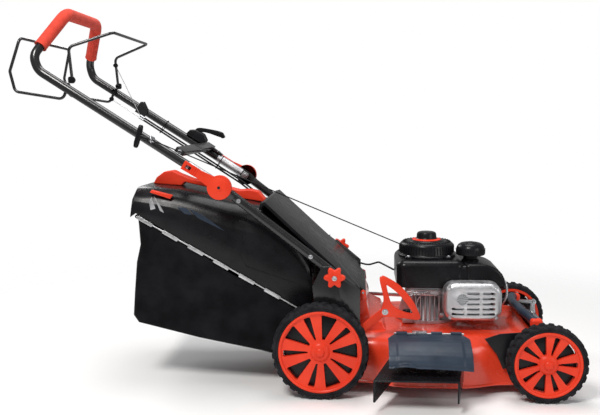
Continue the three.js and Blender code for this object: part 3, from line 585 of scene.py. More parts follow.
for axle, x, radius, rim, rows, wide in AXLES:
    for side_name, side in SIDES:
        centre = (x, side * (OUTER_FACE - WHEEL_HALF), radius)
        stand_for(make_tyre(f"tread_{axle}_{side_name}", centre, radius, rim, rows),
                  f"tyre_{axle}_{side_name}")
        wheel = make_wheel(f"spokes_{axle}_{side_name}", centre, rim, wide, side)
        stand_for(wheel, f"wheel_{axle}_{side_name}")
        dome = [(0.1, 24), (0.1, 30.5), (5, 30), (9, 28.5), (12, 26), (13, 24)]
        cap = lathe(f"hub_cap_{axle}_{side_name}", [(r, side * a) for r, a in dome], centre, segments=48)
        dress(smooth(cap, 40), f"wheel_{axle}_{side_name}")
        shield = lathe(f"dust_shield_{axle}_{side_name}", [(17.6, side * 2), (rim - 13, side * 2),
                                                          (rim - 13, side * 5), (17.6, side * 5)], centre)
        dress(bevelled(shield, 0.8, 2), f"wheel_{axle}_{side_name}", "black_plastic")


# ---------------------------------------------------------------- engine
CRANK = (294, 0, 0)
SHROUD_X, SHROUD_Y, SHROUD_Z = (205, 392), (-112, 112), (264, 338)
TANK_Y = (-112, 40)
FILLER, OIL_FILLER = (414, -40, 0), (236, -72, 0)


def screw(name, place, node, axis="Z", radius=4.5, height=3.2, sign=1):
    """A washer and a hexagon head standing on place, pointing along axis."""
    washer = rod(name, radius * 1.5, (0, sign * 0.9), place,
                   axis, 24)
    head = lathe("head", [(0.1, sign * 0.8), (radius, sign * 0.8), (radius, sign * height * 0.8),
                          (radius * 0.8, sign * height), (0.1, sign * height)], place, axis, 6)
    return dress(bevelled(joined(washer, [head]), 0.25, 2), node, "steel")


def spread_round(piece, centre, count):
    """The piece, drawn about x = y = 0, repeated evenly about the upright axis through centre."""
    piece.data.transform(Matrix.Translation(-ORIGIN))
    copies = []
    for k in range(1, count):
        copy = link(f"{piece.name}_copy", piece.data.copy())
        copy.data.transform(Matrix.Translation(at(*centre)) @ Matrix.Rotation(2 * math.pi * k / count, 4,
                                                                              "Z"))
        copies.append(copy)
    piece.data.transform(Matrix.Translation(at(*centre)))
    return joined(piece, copies)


def make_shroud():
    shell = crowned_block("shroud_shell", SHROUD_X, SHROUD_Y, SHROUD_Z, 24, 2, 19)
    inside = crowned_block("inside", (SHROUD_X[0] + 3, SHROUD_X[1] - 3), (-109, 109), (258, 335), 21, 0.5, 16)
    well = rod("well", 70, (320, 350), CRANK, "Z", 64)
    boolean(shell, [inside, well])
    stand_for(smooth(shell, 40), "blower_shroud")
    bridge = crowned_block("shroud_bridge", (376, 408), (-109, 37), (266, 326), 3, 2, 14)
    dress(smooth(bridge, 40), "blower_shroud")
    for k in range(9):
        x = 228 + 17 * k
        rib = crowned_block(f"shroud_rib_{k}", (x, x + 3), (SHROUD_Y[1] - 1, SHROUD_Y[1] + 1.6), (274, 312),
                            1.2, 1, 1,
                            steps=3)
        dress(smooth(rib), "blower_shroud")


def make_recoil():
    profile = [(76, 338.4), (82, 338.4), (83, 339.4), (83, 343), (81.5, 344.6), (78.5, 345.4), (77.4, 347),
               (75.6, 369), (74.2, 373.5), (70.5, 376.8), (58, 379.6), (52, 380.4), (50, 382.6), (46, 383.4),
               (43, 382.8), (41, 381.6), (33, 384), (29.5, 386.5), (28.4, 390), (27.6, 399), (25.6, 403.2),
               (21, 405.2), (12, 405.6), (0.1, 405.6), (0.1, 401), (23, 400), (24, 383), (69, 372), (73, 350)]
    cover = smooth(lathe("recoil_shell", profile, CRANK, "Z", 128), 40)
    stand_for(cover, "recoil_cover")
    side_rib = crowned_block("rib", (75.2, 78.6), (-1.3, 1.3), (348, 370), 1.0, 0.8, 2.4, steps=2)
    top_fin = crowned_block("fin", (53, 68), (-1.1, 1.1), (377.2, 380.2), 0.9, 0.3, 0.9, steps=2)
    ribs = joined(spread_round(side_rib, CRANK, 56), [spread_round(top_fin, CRANK, 36)])
    ribs.name = "recoil_ribs"
    dress(smooth(ribs), "recoil_cover")
    badge = lathe("badge_ring", [(31, 384.2), (40.5, 382.4), (41.2, 383.6), (40.6, 384.6), (32, 386.4),
                                 (31, 385.8)], CRANK, "Z", 96)
    dress(smooth(badge), "recoil_cover", "red_plastic")
    for k, angle in enumerate((-128, -52, 38, 142)):
        c, s = math.cos(math.radians(angle)), math.sin(math.radians(angle))
        ear = lathe(f"recoil_ear_{k}", [(0.1, 338.4), (11, 338.4), (11, 343), (9.6, 344.4), (0.1, 344.4)],
                    (CRANK[0] + 87 * c, CRANK[1] + 87 * s, 0), "Z", 32)
        dress(smooth(ear), "recoil_cover")
        screw(f"recoil_screw_{k}", (CRANK[0] + 90 * c, CRANK[1] + 90 * s, 344.4), "recoil_cover", radius=4.2)


def cap_grips(name, block, centre, count, node):
    """Upright ridges evenly round a cap; block is one ridge as crowned_block takes it, at the centre."""
    grips = []
    for k in range(count):
        grip = crowned_block("grip", *block, steps=2)
        spin = Matrix.Rotation(2 * math.pi * k / count, 4, "Z")
        grip.data.transform(Matrix.Translation(at(*centre)) @ spin @ Matrix.Translation(-ORIGIN))
        grips.append(grip)
    ring = joined(grips[0], grips[1:])
    ring.name = name
    dress(smooth(ring), node)


def make_tank():
    side = [(393.4, 262), (502, 262), (502, 276), (499, 289), (492, 303), (481, 315), (466, 324), (450, 329),
            (434, 330), (393.4, 330)]
    tank = bevelled(prism("tank_shell", side, TANK_Y, "Y"), 9, 5, 50)
    neck = lathe("neck", [(15, 322), (24, 322), (24, 333), (20.5, 335), (20, 346), (15, 346)], FILLER, "Z",
                 48)
    stand_for(smooth(joined(tank, [neck]), 35), "fuel_tank")
    profile = [(0.1, 346.4), (38.6, 346.4), (39.8, 347.6), (40, 351), (39.6, 362), (38, 369), (34, 375),
               (27.6, 379),
               (22, 380.4), (20.6, 379.4), (19, 379.4), (17.6, 381), (10, 382.6), (0.1, 383)]
    cap = smooth(lathe("cap_dome", profile, FILLER, "Z", 96), 40)
    stand_for(cap, "fuel_cap")
    cap_grips("cap_grips", ((39, 40.9), (-1.6, 1.6), (349.5, 363), 0.9, 0.9, 3), FILLER, 30, "fuel_cap")
    seam = crowned_block("tank_seam", (393.6, 503), (-113.2, 41.2), (276, 278.4), 8, 1, 1, steps=4)
    dress(smooth(seam), "fuel_tank")


def make_oil_cap():
    profile = [(0.1, 172.4), (12, 172.4), (12.6, 176), (12.6, 190), (11, 193), (6, 194), (0.1, 194)]
    stand_for(smooth(lathe("oil_cap_body", profile, OIL_FILLER, "Z", 48), 40), "oil_cap")
    cap_grips("oil_cap_grips", ((12, 13.4), (-1.5, 1.5), (177, 190), 0.8, 0.8, 0.8), OIL_FILLER, 12,
              "oil_cap")


GUARD_X, GUARD_Z, GUARD_Y = (329, 482), (187, 289), (-174, -118)
SCREEN = (377, 247, 15)  # the spark screen's centre and radius


def make_guard():
    guard = crowned_block("guard_shell", GUARD_X, GUARD_Z, GUARD_Y, 30, 13, 1.2, "Y")
    inside = crowned_block("inside", (GUARD_X[0] + 2.5, GUARD_X[1] - 2.5),
                           (GUARD_Z[0] + 2.5, GUARD_Z[1] - 2.5),
                           (GUARD_Y[0] + 2.5, -100), 28, 11, 0.5, "Y")
    slots = [inside]
    for row in range(5):
        for column in range(3):
            x, z = 348 + 41 * column, 204 + 14 * row
            if math.hypot(x + 17 - SCREEN[0], z + 3 - SCREEN[1]) > SCREEN[2] + 9:
                slots.append(crowned_block("slot", (x, x + 33), (z, z + 6.4), (-182, -165), 3, 0.3, 0.3, "Y",
                                           4))
    port = rod("port", SCREEN[2], (-180, -165), (SCREEN[0], 0, SCREEN[1]), "Y", 48)
    boolean(guard, slots + [port])
    stand_for(bevelled(guard, 0.5, 2, 40), "muffler_guard")
    plate = rod("spark_screen", SCREEN[2] - 0.3, (-172.6, -171.4), (SCREEN[0], 0, SCREEN[1]), "Y", 48)
    holes = []
    for ring, count in ((4.0, 5), (8.2, 9), (12.2, 14)):
        for k in range(count):
            angle = 2 * math.pi * k / count
            holes.append(rod("hole", 1.7, (-180, -165),
                             (SCREEN[0] + ring * math.cos(angle), 0,
                              SCREEN[1] + ring * math.sin(angle)), "Y", 8))
    boolean(plate, [joined(holes[0], holes[1:])])
    dress(smooth(plate), "muffler_guard", "steel")
    for k, (x, z) in enumerate(((344, 279), (467, 279), (344, 197), (467, 197))):
        screw(f"guard_screw_{k}", (x, GUARD_Y[0] + 3, z), "muffler_guard", "Y", 3.4, 2.6, -1)


def rod_piece(name, points, radius, node, slot, sides=12):
    """A bent rod or cable through points, as one smooth tube."""
    curve = bpy.data.curves.new(name, "CURVE")
    curve.dimensions = "3D"
    curve.bevel_depth = radius * MM
    curve.bevel_resolution = max(sides // 4 - 1, 1)
    curve.use_fill_caps = True
    curve.resolution_u = 8
    line = curve.splines.new("BEZIER")
    line.bezier_points.add(len(points) - 1)
    for knot, point in zip(line.bezier_points, points):
        knot.co = at(*point)
        knot.handle_left_type = knot.handle_right_type = "AUTO"
    obj = link(name, curve)
    mesh = evaluated(obj)
    bpy.data.objects.remove(obj)
    return dress(smooth(link(name, mesh), 50), node, slot)


def coil_spring(name, start, end, radius, wire, turns, node):
    """A tension spring from start to end."""
    a, b = Vector(start), Vector(end)
    along = (b - a).normalized()
    side = along.cross(Vector((0, 0, 1))).normalized()
    up = side.cross(along)
    steps = turns * 10
    points = []
    for k in range(steps + 1):
        spin = 2 * math.pi * k / 10
        points.append(a + (b - a) * k / steps + radius * (side * math.cos(spin) + up * math.sin(spin)))
    return rod_piece(name, [tuple(point) for point in points], wire, node, "steel", 8)


def make_engine_trim():
    for k in range(7):
        x = 244 + 13 * k
        rib = crowned_block(f"block_rib_{k}", (x, x + 4), (-88 + 1.2 * abs(k - 3), -60), (166, 250), 1.6,
                            1.2, 3, steps=3)
        dress(smooth(rib), "engine_block")
    for k in range(8):
        angle = math.radians(22 + 45 * k)
        screw(f"flange_bolt_{k}", (CRANK[0] + 81 * math.cos(angle), 81 * math.sin(angle), 165.4),
              "engine_block")
    rod_piece("governor_arm", [(258, -96, 200), (266, -98, 232), (292, -100, 252), (318, -100, 256)], 2.0,
              "engine_block", "steel")
    rod_piece("governor_link", [(236, -100, 250), (270, -102, 256), (322, -101, 254)], 1.4, "engine_block",
              "steel")
    rod_piece("choke_link", [(240, -98, 240), (286, -101, 244), (330, -98, 236)], 1.2, "engine_block",
              "steel")
    plate = prism("governor_plate", [(228, 246), (240, 261), (330, 261), (338, 244), (300, 238), (262, 240)],
                  (-97, -95), "Y")
    dress(bevelled(plate, 0.6, 2), "engine_block", "guard")
    coil_spring("governor_spring", (248, -99, 246), (298, -101, 250), 3.2, 0.7, 14, "engine_block")
    screw("governor_nut", (258, -92, 200), "engine_block", "Y", 5, 5, -1)
    for k, (x, z) in enumerate(((254, 182), (330, 182))):
        screw(f"sump_bolt_{k}", (x, -88, z), "engine_block", "Y", 4.4, 4, -1)
    rod_piece("tank_bracket", [(500, -100, 284), (506, -101, 258), (500, -98, 226), (486, -90, 208)], 3.2,
              "fuel_tank", "guard")


def make_air_filter():
    box = crowned_block("air_filter_shell", (330, 452), (128, 196), (214, 306), 18, 4, 14)
    spout = crowned_block("spout", (356, 400), (118, 132), (226, 258), 4, 2, 2, steps=4)
    stand_for(smooth(joined(box, [spout]), 40), "air_filter")
    for k in range(5):
        z = 236 + 12 * k
        louvre = crowned_block(f"filter_louvre_{k}", (350, 432), (195, 198.4), (z, z + 4), 1.4, 1.2, 1.2,
                               steps=3)
        dress(smooth(louvre), "air_filter")
    knob = lathe("filter_knob", [(0.1, 306), (12, 306), (12, 311), (9, 314), (0.1, 315)], (391, 162, 0), "Z",
                 10)
    dress(bevelled(knob, 1), "air_filter")


make_shroud()
make_recoil()
make_tank()
make_oil_cap()
make_guard()
make_engine_trim()
make_air_filter()


# ---------------------------------------------------------------- deck, chute, flap and covers
DECK_REAR, DECK_FRONT, DECK_NARROW, DECK_WIDE = -10, 612, 205, 240
DECK_LEVELS = ((25, -3.2), (26.2, -4.4), (28.6, -4.4), (30, -3), (31.6, 0), (60, 0.8), (90, 2.6), (112, 6),
               (126, 11), (136, 18), (144, 27), (150, 37), (154, 46), (155, 52))
CHAMBER_LEVELS = ((-15, 3), (90, 5.6), (118, 12), (136, 22), (147, 38), (152, 54))
TUNNEL_REAR, TUNNEL_FRONT, TUNNEL_HALF = -14, 206, 150
CHUTE_X = (196, 366)
DOOR_PIN = (112, 258)
REAR_PIVOT = (61, 140)


def bezier(start, first, second, end, steps=12):
    points = []
    for k in range(1, steps + 1):
        t = k / steps
        weights = ((1 - t) ** 3, 3 * t * (1 - t) ** 2, 3 * t * t * (1 - t), t ** 3)
        points.append(tuple(sum(w * p[i] for w, p in zip(weights,
                                                         (start, first, second, end))) for i in (0, 1)))
    return points


def deck_outline(inset):
    narrow, wide, corner = DECK_NARROW - inset, DECK_WIDE - inset, 58 - inset / 2
    nose = DECK_FRONT - inset
    right = [(DECK_REAR + inset, -narrow), (110, -narrow)]
    right += bezier((110, -narrow), (160, -narrow), (180, -wide), (235, -wide))
    right.append((350, -wide))
    right += bezier((350, -wide), (420, -wide), (440, -narrow), (500, -narrow))
    right += [(nose - corner + corner * math.sin(math.radians(9 * k)),
               -narrow + corner - corner * math.cos(math.radians(9 * k))) for k in range(11)]
    return right + [(x, -y) for x, y in reversed(right)]


def deck_loft(name, levels):
    return rings_to_object(name, [[at(x, y, z) for x, y in deck_outline(inset)] for z, inset in levels])


def make_deck():
    body = deck_loft("deck_shell", DECK_LEVELS)
    side = [(TUNNEL_REAR, 130), (TUNNEL_FRONT, 130), (TUNNEL_FRONT, 150), (176, 152), (165, 174), (130, 190),
            (120, 236), (116, 240), (100, 240), (TUNNEL_REAR, 225)]
    tunnel = bevelled(prism("tunnel", side, (-TUNNEL_HALF, TUNNEL_HALF), "Y"), 4, 4, 20)
    hollow = prism("hollow", [(-40, 120), (203, 120), (203, 147), (174, 149), (163, 171), (127, 187.5),
                              (117, 235), (114.5, 237), (100, 237), (-40, 221)],
                   (-TUNNEL_HALF + 3, TUNNEL_HALF - 3), "Y")
    boolean(body, [tunnel], "UNION")
    shaft = rod("shaft", 40, (135, 175), CRANK, "Z", 48)
    axle = rod("axle", 8.6, (-235, 235), (REAR_PIVOT[0], 0, REAR_PIVOT[1]), "Y", 32)
    opening = crowned_block("opening", CHUTE_X, (45, 112), (-262, -200), 8, 0.5, 0.5, "Y", 4)
    boolean(body, [deck_loft("chamber", CHAMBER_LEVELS), hollow, shaft, axle, opening])
    floor = crowned_block("tunnel_floor", (TUNNEL_REAR, 150), (-148, 148), (157, 160), 1, 0.4, 0.4, steps=2)
    boolean(body, [floor], "UNION")
    stand_for(bevelled(body, 0.9, 2, 38), "deck")
    for name, side in SIDES:
        lug = prism(f"door_lug_{name}", [(102, 236), (122, 236), (119, 262), (112, 266), (105, 262)],
                    beside(side, 144, 150), "Y")
        dress(bevelled(lug, 1.2, 2), "deck")
    pin = rod("door_pin", 3, (-151, 151), (DOOR_PIN[0], 0, DOOR_PIN[1]), "Y", 24)
    dress(smooth(pin, 40), "deck", "steel")
    for name, side in SIDES:
        stamp = lathe(f"deck_stamp_{name}", [(28, 153.5), (31, 156), (34, 156.6), (37, 156), (40, 153.5)],
                      (452, side * 112, 0), "Z", 64)
        dress(smooth(stamp, 50), "deck")
        for k, (x, z) in enumerate(((92, 206), (134, 172))):
            screw(f"tunnel_bolt_{name}_{k}", (x, side * 150, z), "deck", "Y", 4.2, 3.4, side)
    for k, (x, y) in enumerate(((560, -150), (590, -96), (590, 96), (560, 150))):
        screw(f"nose_bolt_{k}", (x, y, 152), "deck", "Z", 4.2, 3.4)


FLAP_SECTION = ((-252, 171), (-266, 169.6), (-282, 167.4), (-299, 163.4), (-315, 157), (-330, 149.6),
                (-343, 141), (-350, 131), (-354, 122), (-356, 116.4), (-357.6, 114.4))
FLAP_X = (176, 384)


def flap_point(u, v):
    """A point on the flap's outer face: u runs along the mower, v from the hinge to the lip."""
    place = v * (len(FLAP_SECTION) - 1)
    index = min(int(place), len(FLAP_SECTION) - 2)
    part = place - index
    y, z = (a + (b - a) * part for a, b in zip(FLAP_SECTION[index], FLAP_SECTION[index + 1]))
    inset = 15 * max(1 - v / 0.17, 0)
    x = FLAP_X[0] + inset + (FLAP_X[1] - FLAP_X[0] - 2 * inset) * u
    lift = 5.5 * math.sin(math.pi * u)
    if 0.10 < u < 0.90 and 0.24 < v < 0.80:
        lift += 1.5
    if 0.22 < u < 0.78 and v < 0.12:
        lift -= 2.0
    if 0.82 < v < 0.86:
        lift -= 1.2
    scoop = math.hypot((u - 0.20) / 0.135, (v - 0.94) / 0.17)
    lift += 7.5 * max(1 - scoop * scoop, 0) ** 0.6
    sag = -5 * u
    return at(x, y - 0.75 * lift, z + 0.66 * lift + sag * v)


def make_flap():
    columns, rows = 72, 44
    points = [flap_point(i / columns, j / rows) for j in range(rows + 1) for i in range(columns + 1)]
    faces = [(j * (columns + 1) + i, j * (columns + 1) + i + 1, (j + 1) * (columns + 1) + i + 1,
              (j + 1) * (columns + 1) + i) for j in range(rows) for i in range(columns)]
    mesh = bpy.data.meshes.new("flap_cover")
    mesh.from_pydata([tuple(p) for p in points], [], faces)
    cover = link("flap_cover", mesh)
    thick = cover.modifiers.new("thickness", "SOLIDIFY")
    thick.thickness = 3.2 * MM
    thick.offset = 1 if mesh.polygons[0].normal.z < 0 else -1
    stand_for(bevelled(applied(cover), 0.8, 2, 40), "side_flap")
    for k, x in enumerate((212, 262, 302, 352)):
        barrel = rod(f"flap_barrel_{k}", 6, (x - 14, x + 14), (0, -246, 172),
                       "X", 32)
        web = crowned_block("web", (x - 13, x + 13), (-258, -246), (165, 170.6), 2, 1, 1, steps=2)
        dress(smooth(joined(barrel, [web]), 40), "side_flap")
    pin = rod("flap_pin", 2.4, (192, 372), (0, -246, 172), "X", 20)
    dress(smooth(pin, 40), "side_flap", "steel")
    coil = [(240 + 1.4 * k / 3, -246 + 8 * math.cos(k * 0.9), 172 + 8 * math.sin(k * 0.9)) for k in range(80)]
    rod_piece("flap_spring", coil, 0.8, "side_flap", "steel", 8)


def hood(name, near, far):
    """A sloping box between two upright rectangles, each given as (y, (rear, front), (low, high))."""
    rings = [[at(x, y, z) for x, z in ((rear, high), (rear, low), (front, low), (front, high))]
             for y, (rear, front), (low, high) in (near, far)]
    return rings_to_object(name, rings)


def make_chute():
    rear, front = CHUTE_X
    shell = hood("chute_hood", (-370, (136, 348), (30, 86)), (-240.5, (rear - 8, front + 8), (46, 116)))
    inside = hood("inside", (-371, (141, 343), (27, 82)), (-240, (rear - 3, front + 3), (43, 112)))
    stand_for(bevelled(boolean(shell, [inside]), 1.4, 3, 40), "side_chute")


def closed_curve(points, steps=7):
    """A smooth closed outline through the points, by Catmull-Rom."""
    out, count = [], len(points)
    for k in range(count):
        a, b, c, d = (points[(k + i) % count] for i in (-1, 0, 1, 2))
        for step in range(steps):
            t = step / steps
            out.append(tuple(0.5 * (2 * q + (r - p) * t + (2 * p - 5 * q + 4 * r - s) * t * t
                                    + (3 * q - p - 3 * r + s) * t ** 3) for p, q, r, s in zip(a, b, c, d)))
    return out


def make_lever():
    outer = [(155, 312), (160, 321), (169, 321), (205, 299), (238, 262), (256, 228), (259, 214), (250, 208.5),
             (205, 214), (162, 218), (158, 228), (165, 262)]
    hole = [(173, 297), (178, 297), (202, 278), (226, 249), (240, 227), (234, 224), (212, 230), (191, 243),
            (181, 262)]
    loop = boolean(prism("lever_loop", closed_curve(outer), (-246, -231.5), "Y"),
                   [prism("hole", closed_curve(hole), (-260, -215), "Y")])
    stand_for(bevelled(loop, 4, 4, 50), "height_lever")
    arm = prism("lever_arm", [(49, 134), (69, 128), (183, 221), (173, 241)], (-214, -209), "Y")
    dress(bevelled(arm, 1.6, 3), "height_lever")
    spacer = rod("lever_spacer", 9, (-232, -211), (169, 0, 229), "Y", 32)
    dress(smooth(spacer, 40), "height_lever")
    screw("lever_bolt", (169, -246, 229), "height_lever", "Y", 5.4, 4, -1)


def make_front():
    refined("front_cover", 3.2, 4, 30)
    half = [(574, -150, 182), (562, -124, 190), (548, -50, 196)]
    bar = rod_piece("front_grip_bar", half + [(x, -y, z) for x, y, z in reversed(half)], 11, "front_grip",
                    "grey_plastic", 32)
    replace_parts(bar, "front_grip")
    for name, side in SIDES:
        end = crowned_block(f"grip_end_{name}", (560, 592), beside(side, 140, 166), (170, 192), 9,
                            4, 8)
        dress(smooth(end, 40), "front_grip", "red_plastic")


make_deck()
make_flap()
make_chute()
make_lever()
make_front()


# ---------------------------------------------------------------- handle, bails and controls
FOLD = (-262, 555)
LOWER_SLOPE, UPPER_SLOPE = math.radians(38), math.radians(32.75)
ARM_Y, TUBE_RADIUS = 213, 12


def lower(along, above):
    return (FOLD[0] + along * math.cos(LOWER_SLOPE) + above * math.sin(LOWER_SLOPE),
            FOLD[1] - along * math.sin(LOWER_SLOPE) + above * math.cos(LOWER_SLOPE))


def upper(along, above):
    return (FOLD[0] - along * math.cos(UPPER_SLOPE) + above * math.sin(UPPER_SLOPE),
            FOLD[1] + along * math.sin(UPPER_SLOPE) + above * math.cos(UPPER_SLOPE))


def rounded_path(points, bend, steps=10):
    """A polyline whose corners are arcs of the bend radius, as fine points."""
    corners = [Vector(point) for point in points]
    path = [corners[0]]
    for before, corner, after in zip(corners, corners[1:], corners[2:]):
        back, on = (before - corner).normalized(), (after - corner).normalized()
        half = back.angle(on) / 2
        reach = min(bend / math.tan(half), (before - corner).length * 0.49, (after - corner).length * 0.49)
        centre = corner + (back + on).normalized() * (reach / math.cos(half))
        first, last = corner + back * reach - centre, corner + on * reach - centre
        whole = first.angle(last)
        for k in range(steps + 1):
            t = k / steps
            path.append(centre
                        + (first * math.sin((1 - t) * whole) + last * math.sin(t * whole)) / math.sin(whole))
    path.append(corners[-1])
    return path


def sweep(name, path, radius, sides=28, hollow=None):
    """A round tube along a path; hollow is the bore's radius where both ends stay open."""
    rings, side = [], None
    for k, point in enumerate(path):
        ahead = (path[min(k + 1, len(path) - 1)] - path[max(k - 1, 0)]).normalized()
        side = ahead.orthogonal() if side is None else side - ahead * side.dot(ahead)
        side.normalize()
        up = ahead.cross(side)
        spins = [2 * math.pi * s / sides for s in range(sides)]
        rings.append([at(*(point + radius * (side * math.cos(spin) + up * math.sin(spin))))
                      for spin in spins])
    if hollow is None:
        return smooth(rings_to_object(name, rings), 50)
    inner = [[at(*point) + (corner - at(*point)) * (hollow / radius) for corner in ring]
             for point, ring in zip(path, rings)]
    return smooth(rings_to_object(name, rings + inner[::-1], closed=True), 50)


def stretches(obj, slot, *ends):
    """Gives a swept piece its slot; the ends (first body, second body, and where each takes over) are not
    used.
    """
    obj.data.materials.append(MATERIALS[slot])
    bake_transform(obj)


def mirrored(points):
    return [(x, -y, z) for x, y, z in reversed(points)]


HOOP = [(x, ARM_Y, z) for x, z in (upper(-8, 0), upper(576, 0))] + [(-758, 213, 905), (-698, 122, 1023)]


def make_tubes():
    hoop = rounded_path(HOOP + mirrored(HOOP), 44, 14)
    stand_for(sweep("upper_hoop", hoop, TUBE_RADIUS, 32), "upper_tube")
    start = [a + (b - a) * 0.21 for a, b in zip(HOOP[2], HOOP[3])]
    grip = rounded_path([start, HOOP[3]] + mirrored([start, HOOP[3]]), 44, 14)
    sleeve = stand_for(sweep("foam_sleeve", grip, 17, 32, TUBE_RADIUS + 0.3), "foam_grip")
    for end in (0, -1):
        inward = (grip[1] - grip[0]) if end == 0 else (grip[-2] - grip[-1])
        tip = [grip[end], grip[end] + inward.normalized() * 3]
        dress(sweep(f"foam_lip_{'right' if end else 'left'}", tip, 17.7, 32, TUBE_RADIUS + 0.4), "foam_grip")
    for name, side in SIDES:
        ends = [Vector((lower(t, 0)[0], side * ARM_Y, lower(t, 0)[1])) for t in (30, 440)]
        tube = sweep(f"lower_arm_{name}", ends, TUBE_RADIUS, 32)
        plate = bevelled(cad_part(f"lower_tube_{name}", f"joint_plate_{name}", 219.5, 251), 1.2, 2)
        stand_for(joined(tube, [plate]), f"lower_tube_{name}")
        node = f"lower_tube_{name}"
        screw(f"fold_nut_{name}", (FOLD[0], side * 199.5, FOLD[1]), node, "Y", 7.5, 6, -side)
        for k, along in enumerate((60, 300)):
            x, z = lower(along, 0)
            screw(f"arm_bolt_{name}_{k}", (x, side * (ARM_Y + TUBE_RADIUS - 0.6), z), node, "Y", 4, 3, side)


def cad_part(node, name, low, high):
    """The part of a CAD node whose distance from the middle plane is between low and high."""
    mesh, middle = bpy.data.meshes.new(name), ORIGIN.y
    with edited(mesh, NODES[node].data) as work:
        bmesh.ops.remove_doubles(work, verts=work.verts, dist=WELD)
        sign = 1 if sum(v.co.y for v in work.verts) / len(work.verts) > middle else -1
        for bound, away in ((low, sign), (high, -sign)):
            geometry = list(work.verts) + list(work.edges) + list(work.faces)
            bmesh.ops.bisect_plane(work, geom=geometry, plane_co=(0, middle + sign * bound * MM, 0),
                                   plane_no=(0, -away, 0), clear_outer=True)
            bmesh.ops.holes_fill(work, edges=[edge for edge in work.edges if edge.is_boundary])
        flat_again(work)
    return link(name, mesh)


REAR_BAIL = [(-675, 195.5, 824), (-688, 195.5, 790), (-820, 195.5, 812), (-834.27, 191, 866),
             (-808, 178, 955)]
FRONT_BAIL = [(-661, 195.5, 840), (-668, 195.5, 927), (-555, 165, 966)]


def make_bails():
    for name, leg in (("rear_bail", REAR_BAIL), ("front_bail", FRONT_BAIL)):
        wire = rounded_path(leg + mirrored(leg), 16, 8)
        stand_for(sweep(f"{name}_wire", wire, 4, 20), name)
        for side_name, side in SIDES:
            x, _, z = leg[0]
            eye = lathe(f"{name}_eye_{side_name}", [(4.2, side * 191), (8, side * 191), (8, side * 200),
                                                    (4.2, side * 200)], (x, 0, z), "Y", 32)
            dress(bevelled(eye, 0.6, 2), name, "black_plastic")
    for side_name, side in SIDES:
        for k, (x, z) in enumerate(((-675, 824), (-661, 840))):
            stop = crowned_block(f"bail_seat_{side_name}_{k}", (x - 9, x + 9), (z - 9, z + 9),
                                 beside(side, 199.6, 203.5), 5, 1, 1, "Y", 4)
            dress(smooth(stop), "upper_tube", "black_plastic")


def make_cam_levers():
    for name, side in SIDES:
        node = f"cam_lever_{name}"
        stand_for(bevelled(cleaned_copy(node, f"{node}_body"), 3.4, 5, 24), node)
        disc = lathe(f"cam_disc_{name}", [(0.1, side * 230), (31.8, side * 230), (32, side * 241),
                                          (30, side * 244.6),
                                          (24, side * 246.6), (10, side * 247.4), (0.1, side * 247.4)],
                     (FOLD[0], 0, FOLD[1]), "Y", 96)
        dress(smooth(disc, 40), node)
        for k in range(3):
            ridge = [(*upper(72 + 6 * k, -11), 0), (*upper(72 + 6 * k, 11), 0)]
            ends = [Vector((x, side * 245, z)) for x, z, _ in ridge]
            dress(sweep(f"cam_ridge_{name}_{k}", ends, 1.3, 12), node)


def make_star_knobs():
    for name, side in SIDES:
        node = f"star_knob_{name}"
        lobes = [(38 + (23.6 + 4.6 * math.cos(6 * t)) * math.cos(t),
                  320 + (23.6 + 4.6 * math.cos(6 * t)) * math.sin(t))
                 for t in (2 * math.pi * k / 120 for k in range(120))]
        star = bevelled(prism(f"{node}_star", lobes, beside(side, 240, 260), "Y"), 3, 4, 40)
        collar = lathe("collar", [(0.1, side * 225.4), (4, side * 225.4), (4, side * 230), (11, side * 230),
                                  (13, side * 240.6), (0.1, side * 240.6)], (38, 0, 320), "Y", 48)
        stand_for(smooth(joined(star, [collar]), 35), node)
        button = lathe(f"knob_button_{name}", [(0.1, side * 259.6), (9, side * 259.6), (8.4, side * 261.4),
                                               (0.1, side * 262)], (38, 0, 320), "Y", 48)
        dress(smooth(button, 40), node)
        screw(f"knob_nut_{name}", (38, side * 261.6, 320), node, "Y", 4.4, 2.6, side)


def make_console():
    refined("cross_brace", 2, 3)
    refined("control_console", 3.5, 5, 25)
    paddle = [(196, 27), (210, 28), (208, 46), (176, 62), (134, 76), (122, 66), (128, 60), (170, 50),
              (192, 40)]
    outline = closed_curve([upper(*point) for point in paddle], 5)
    stand_for(bevelled(prism("speed_paddle", outline, (209, 217), "Y"), 2.4, 4, 40), "speed_lever")
    knob = closed_curve([upper(*point) for point in ((138, 75), (120, 69), (124, 60), (142, 65))], 6)
    dress(bevelled(prism("speed_thumb", knob, (203, 223), "Y"), 3, 4, 40), "speed_lever")
    for k, (along, above) in enumerate(((112, 14), (148, 20))):
        x, z = upper(along, above)
        screw(f"brace_screw_{k}", (x, 223 - 5 * k, z), "cross_brace", "Y", 4, 3)
    x, z = upper(143, 19)
    screw("brace_screw_right", (x, -210, z), "cross_brace", "Y", 4.4, 4, -1)


EYE = (-441, -237, 681)


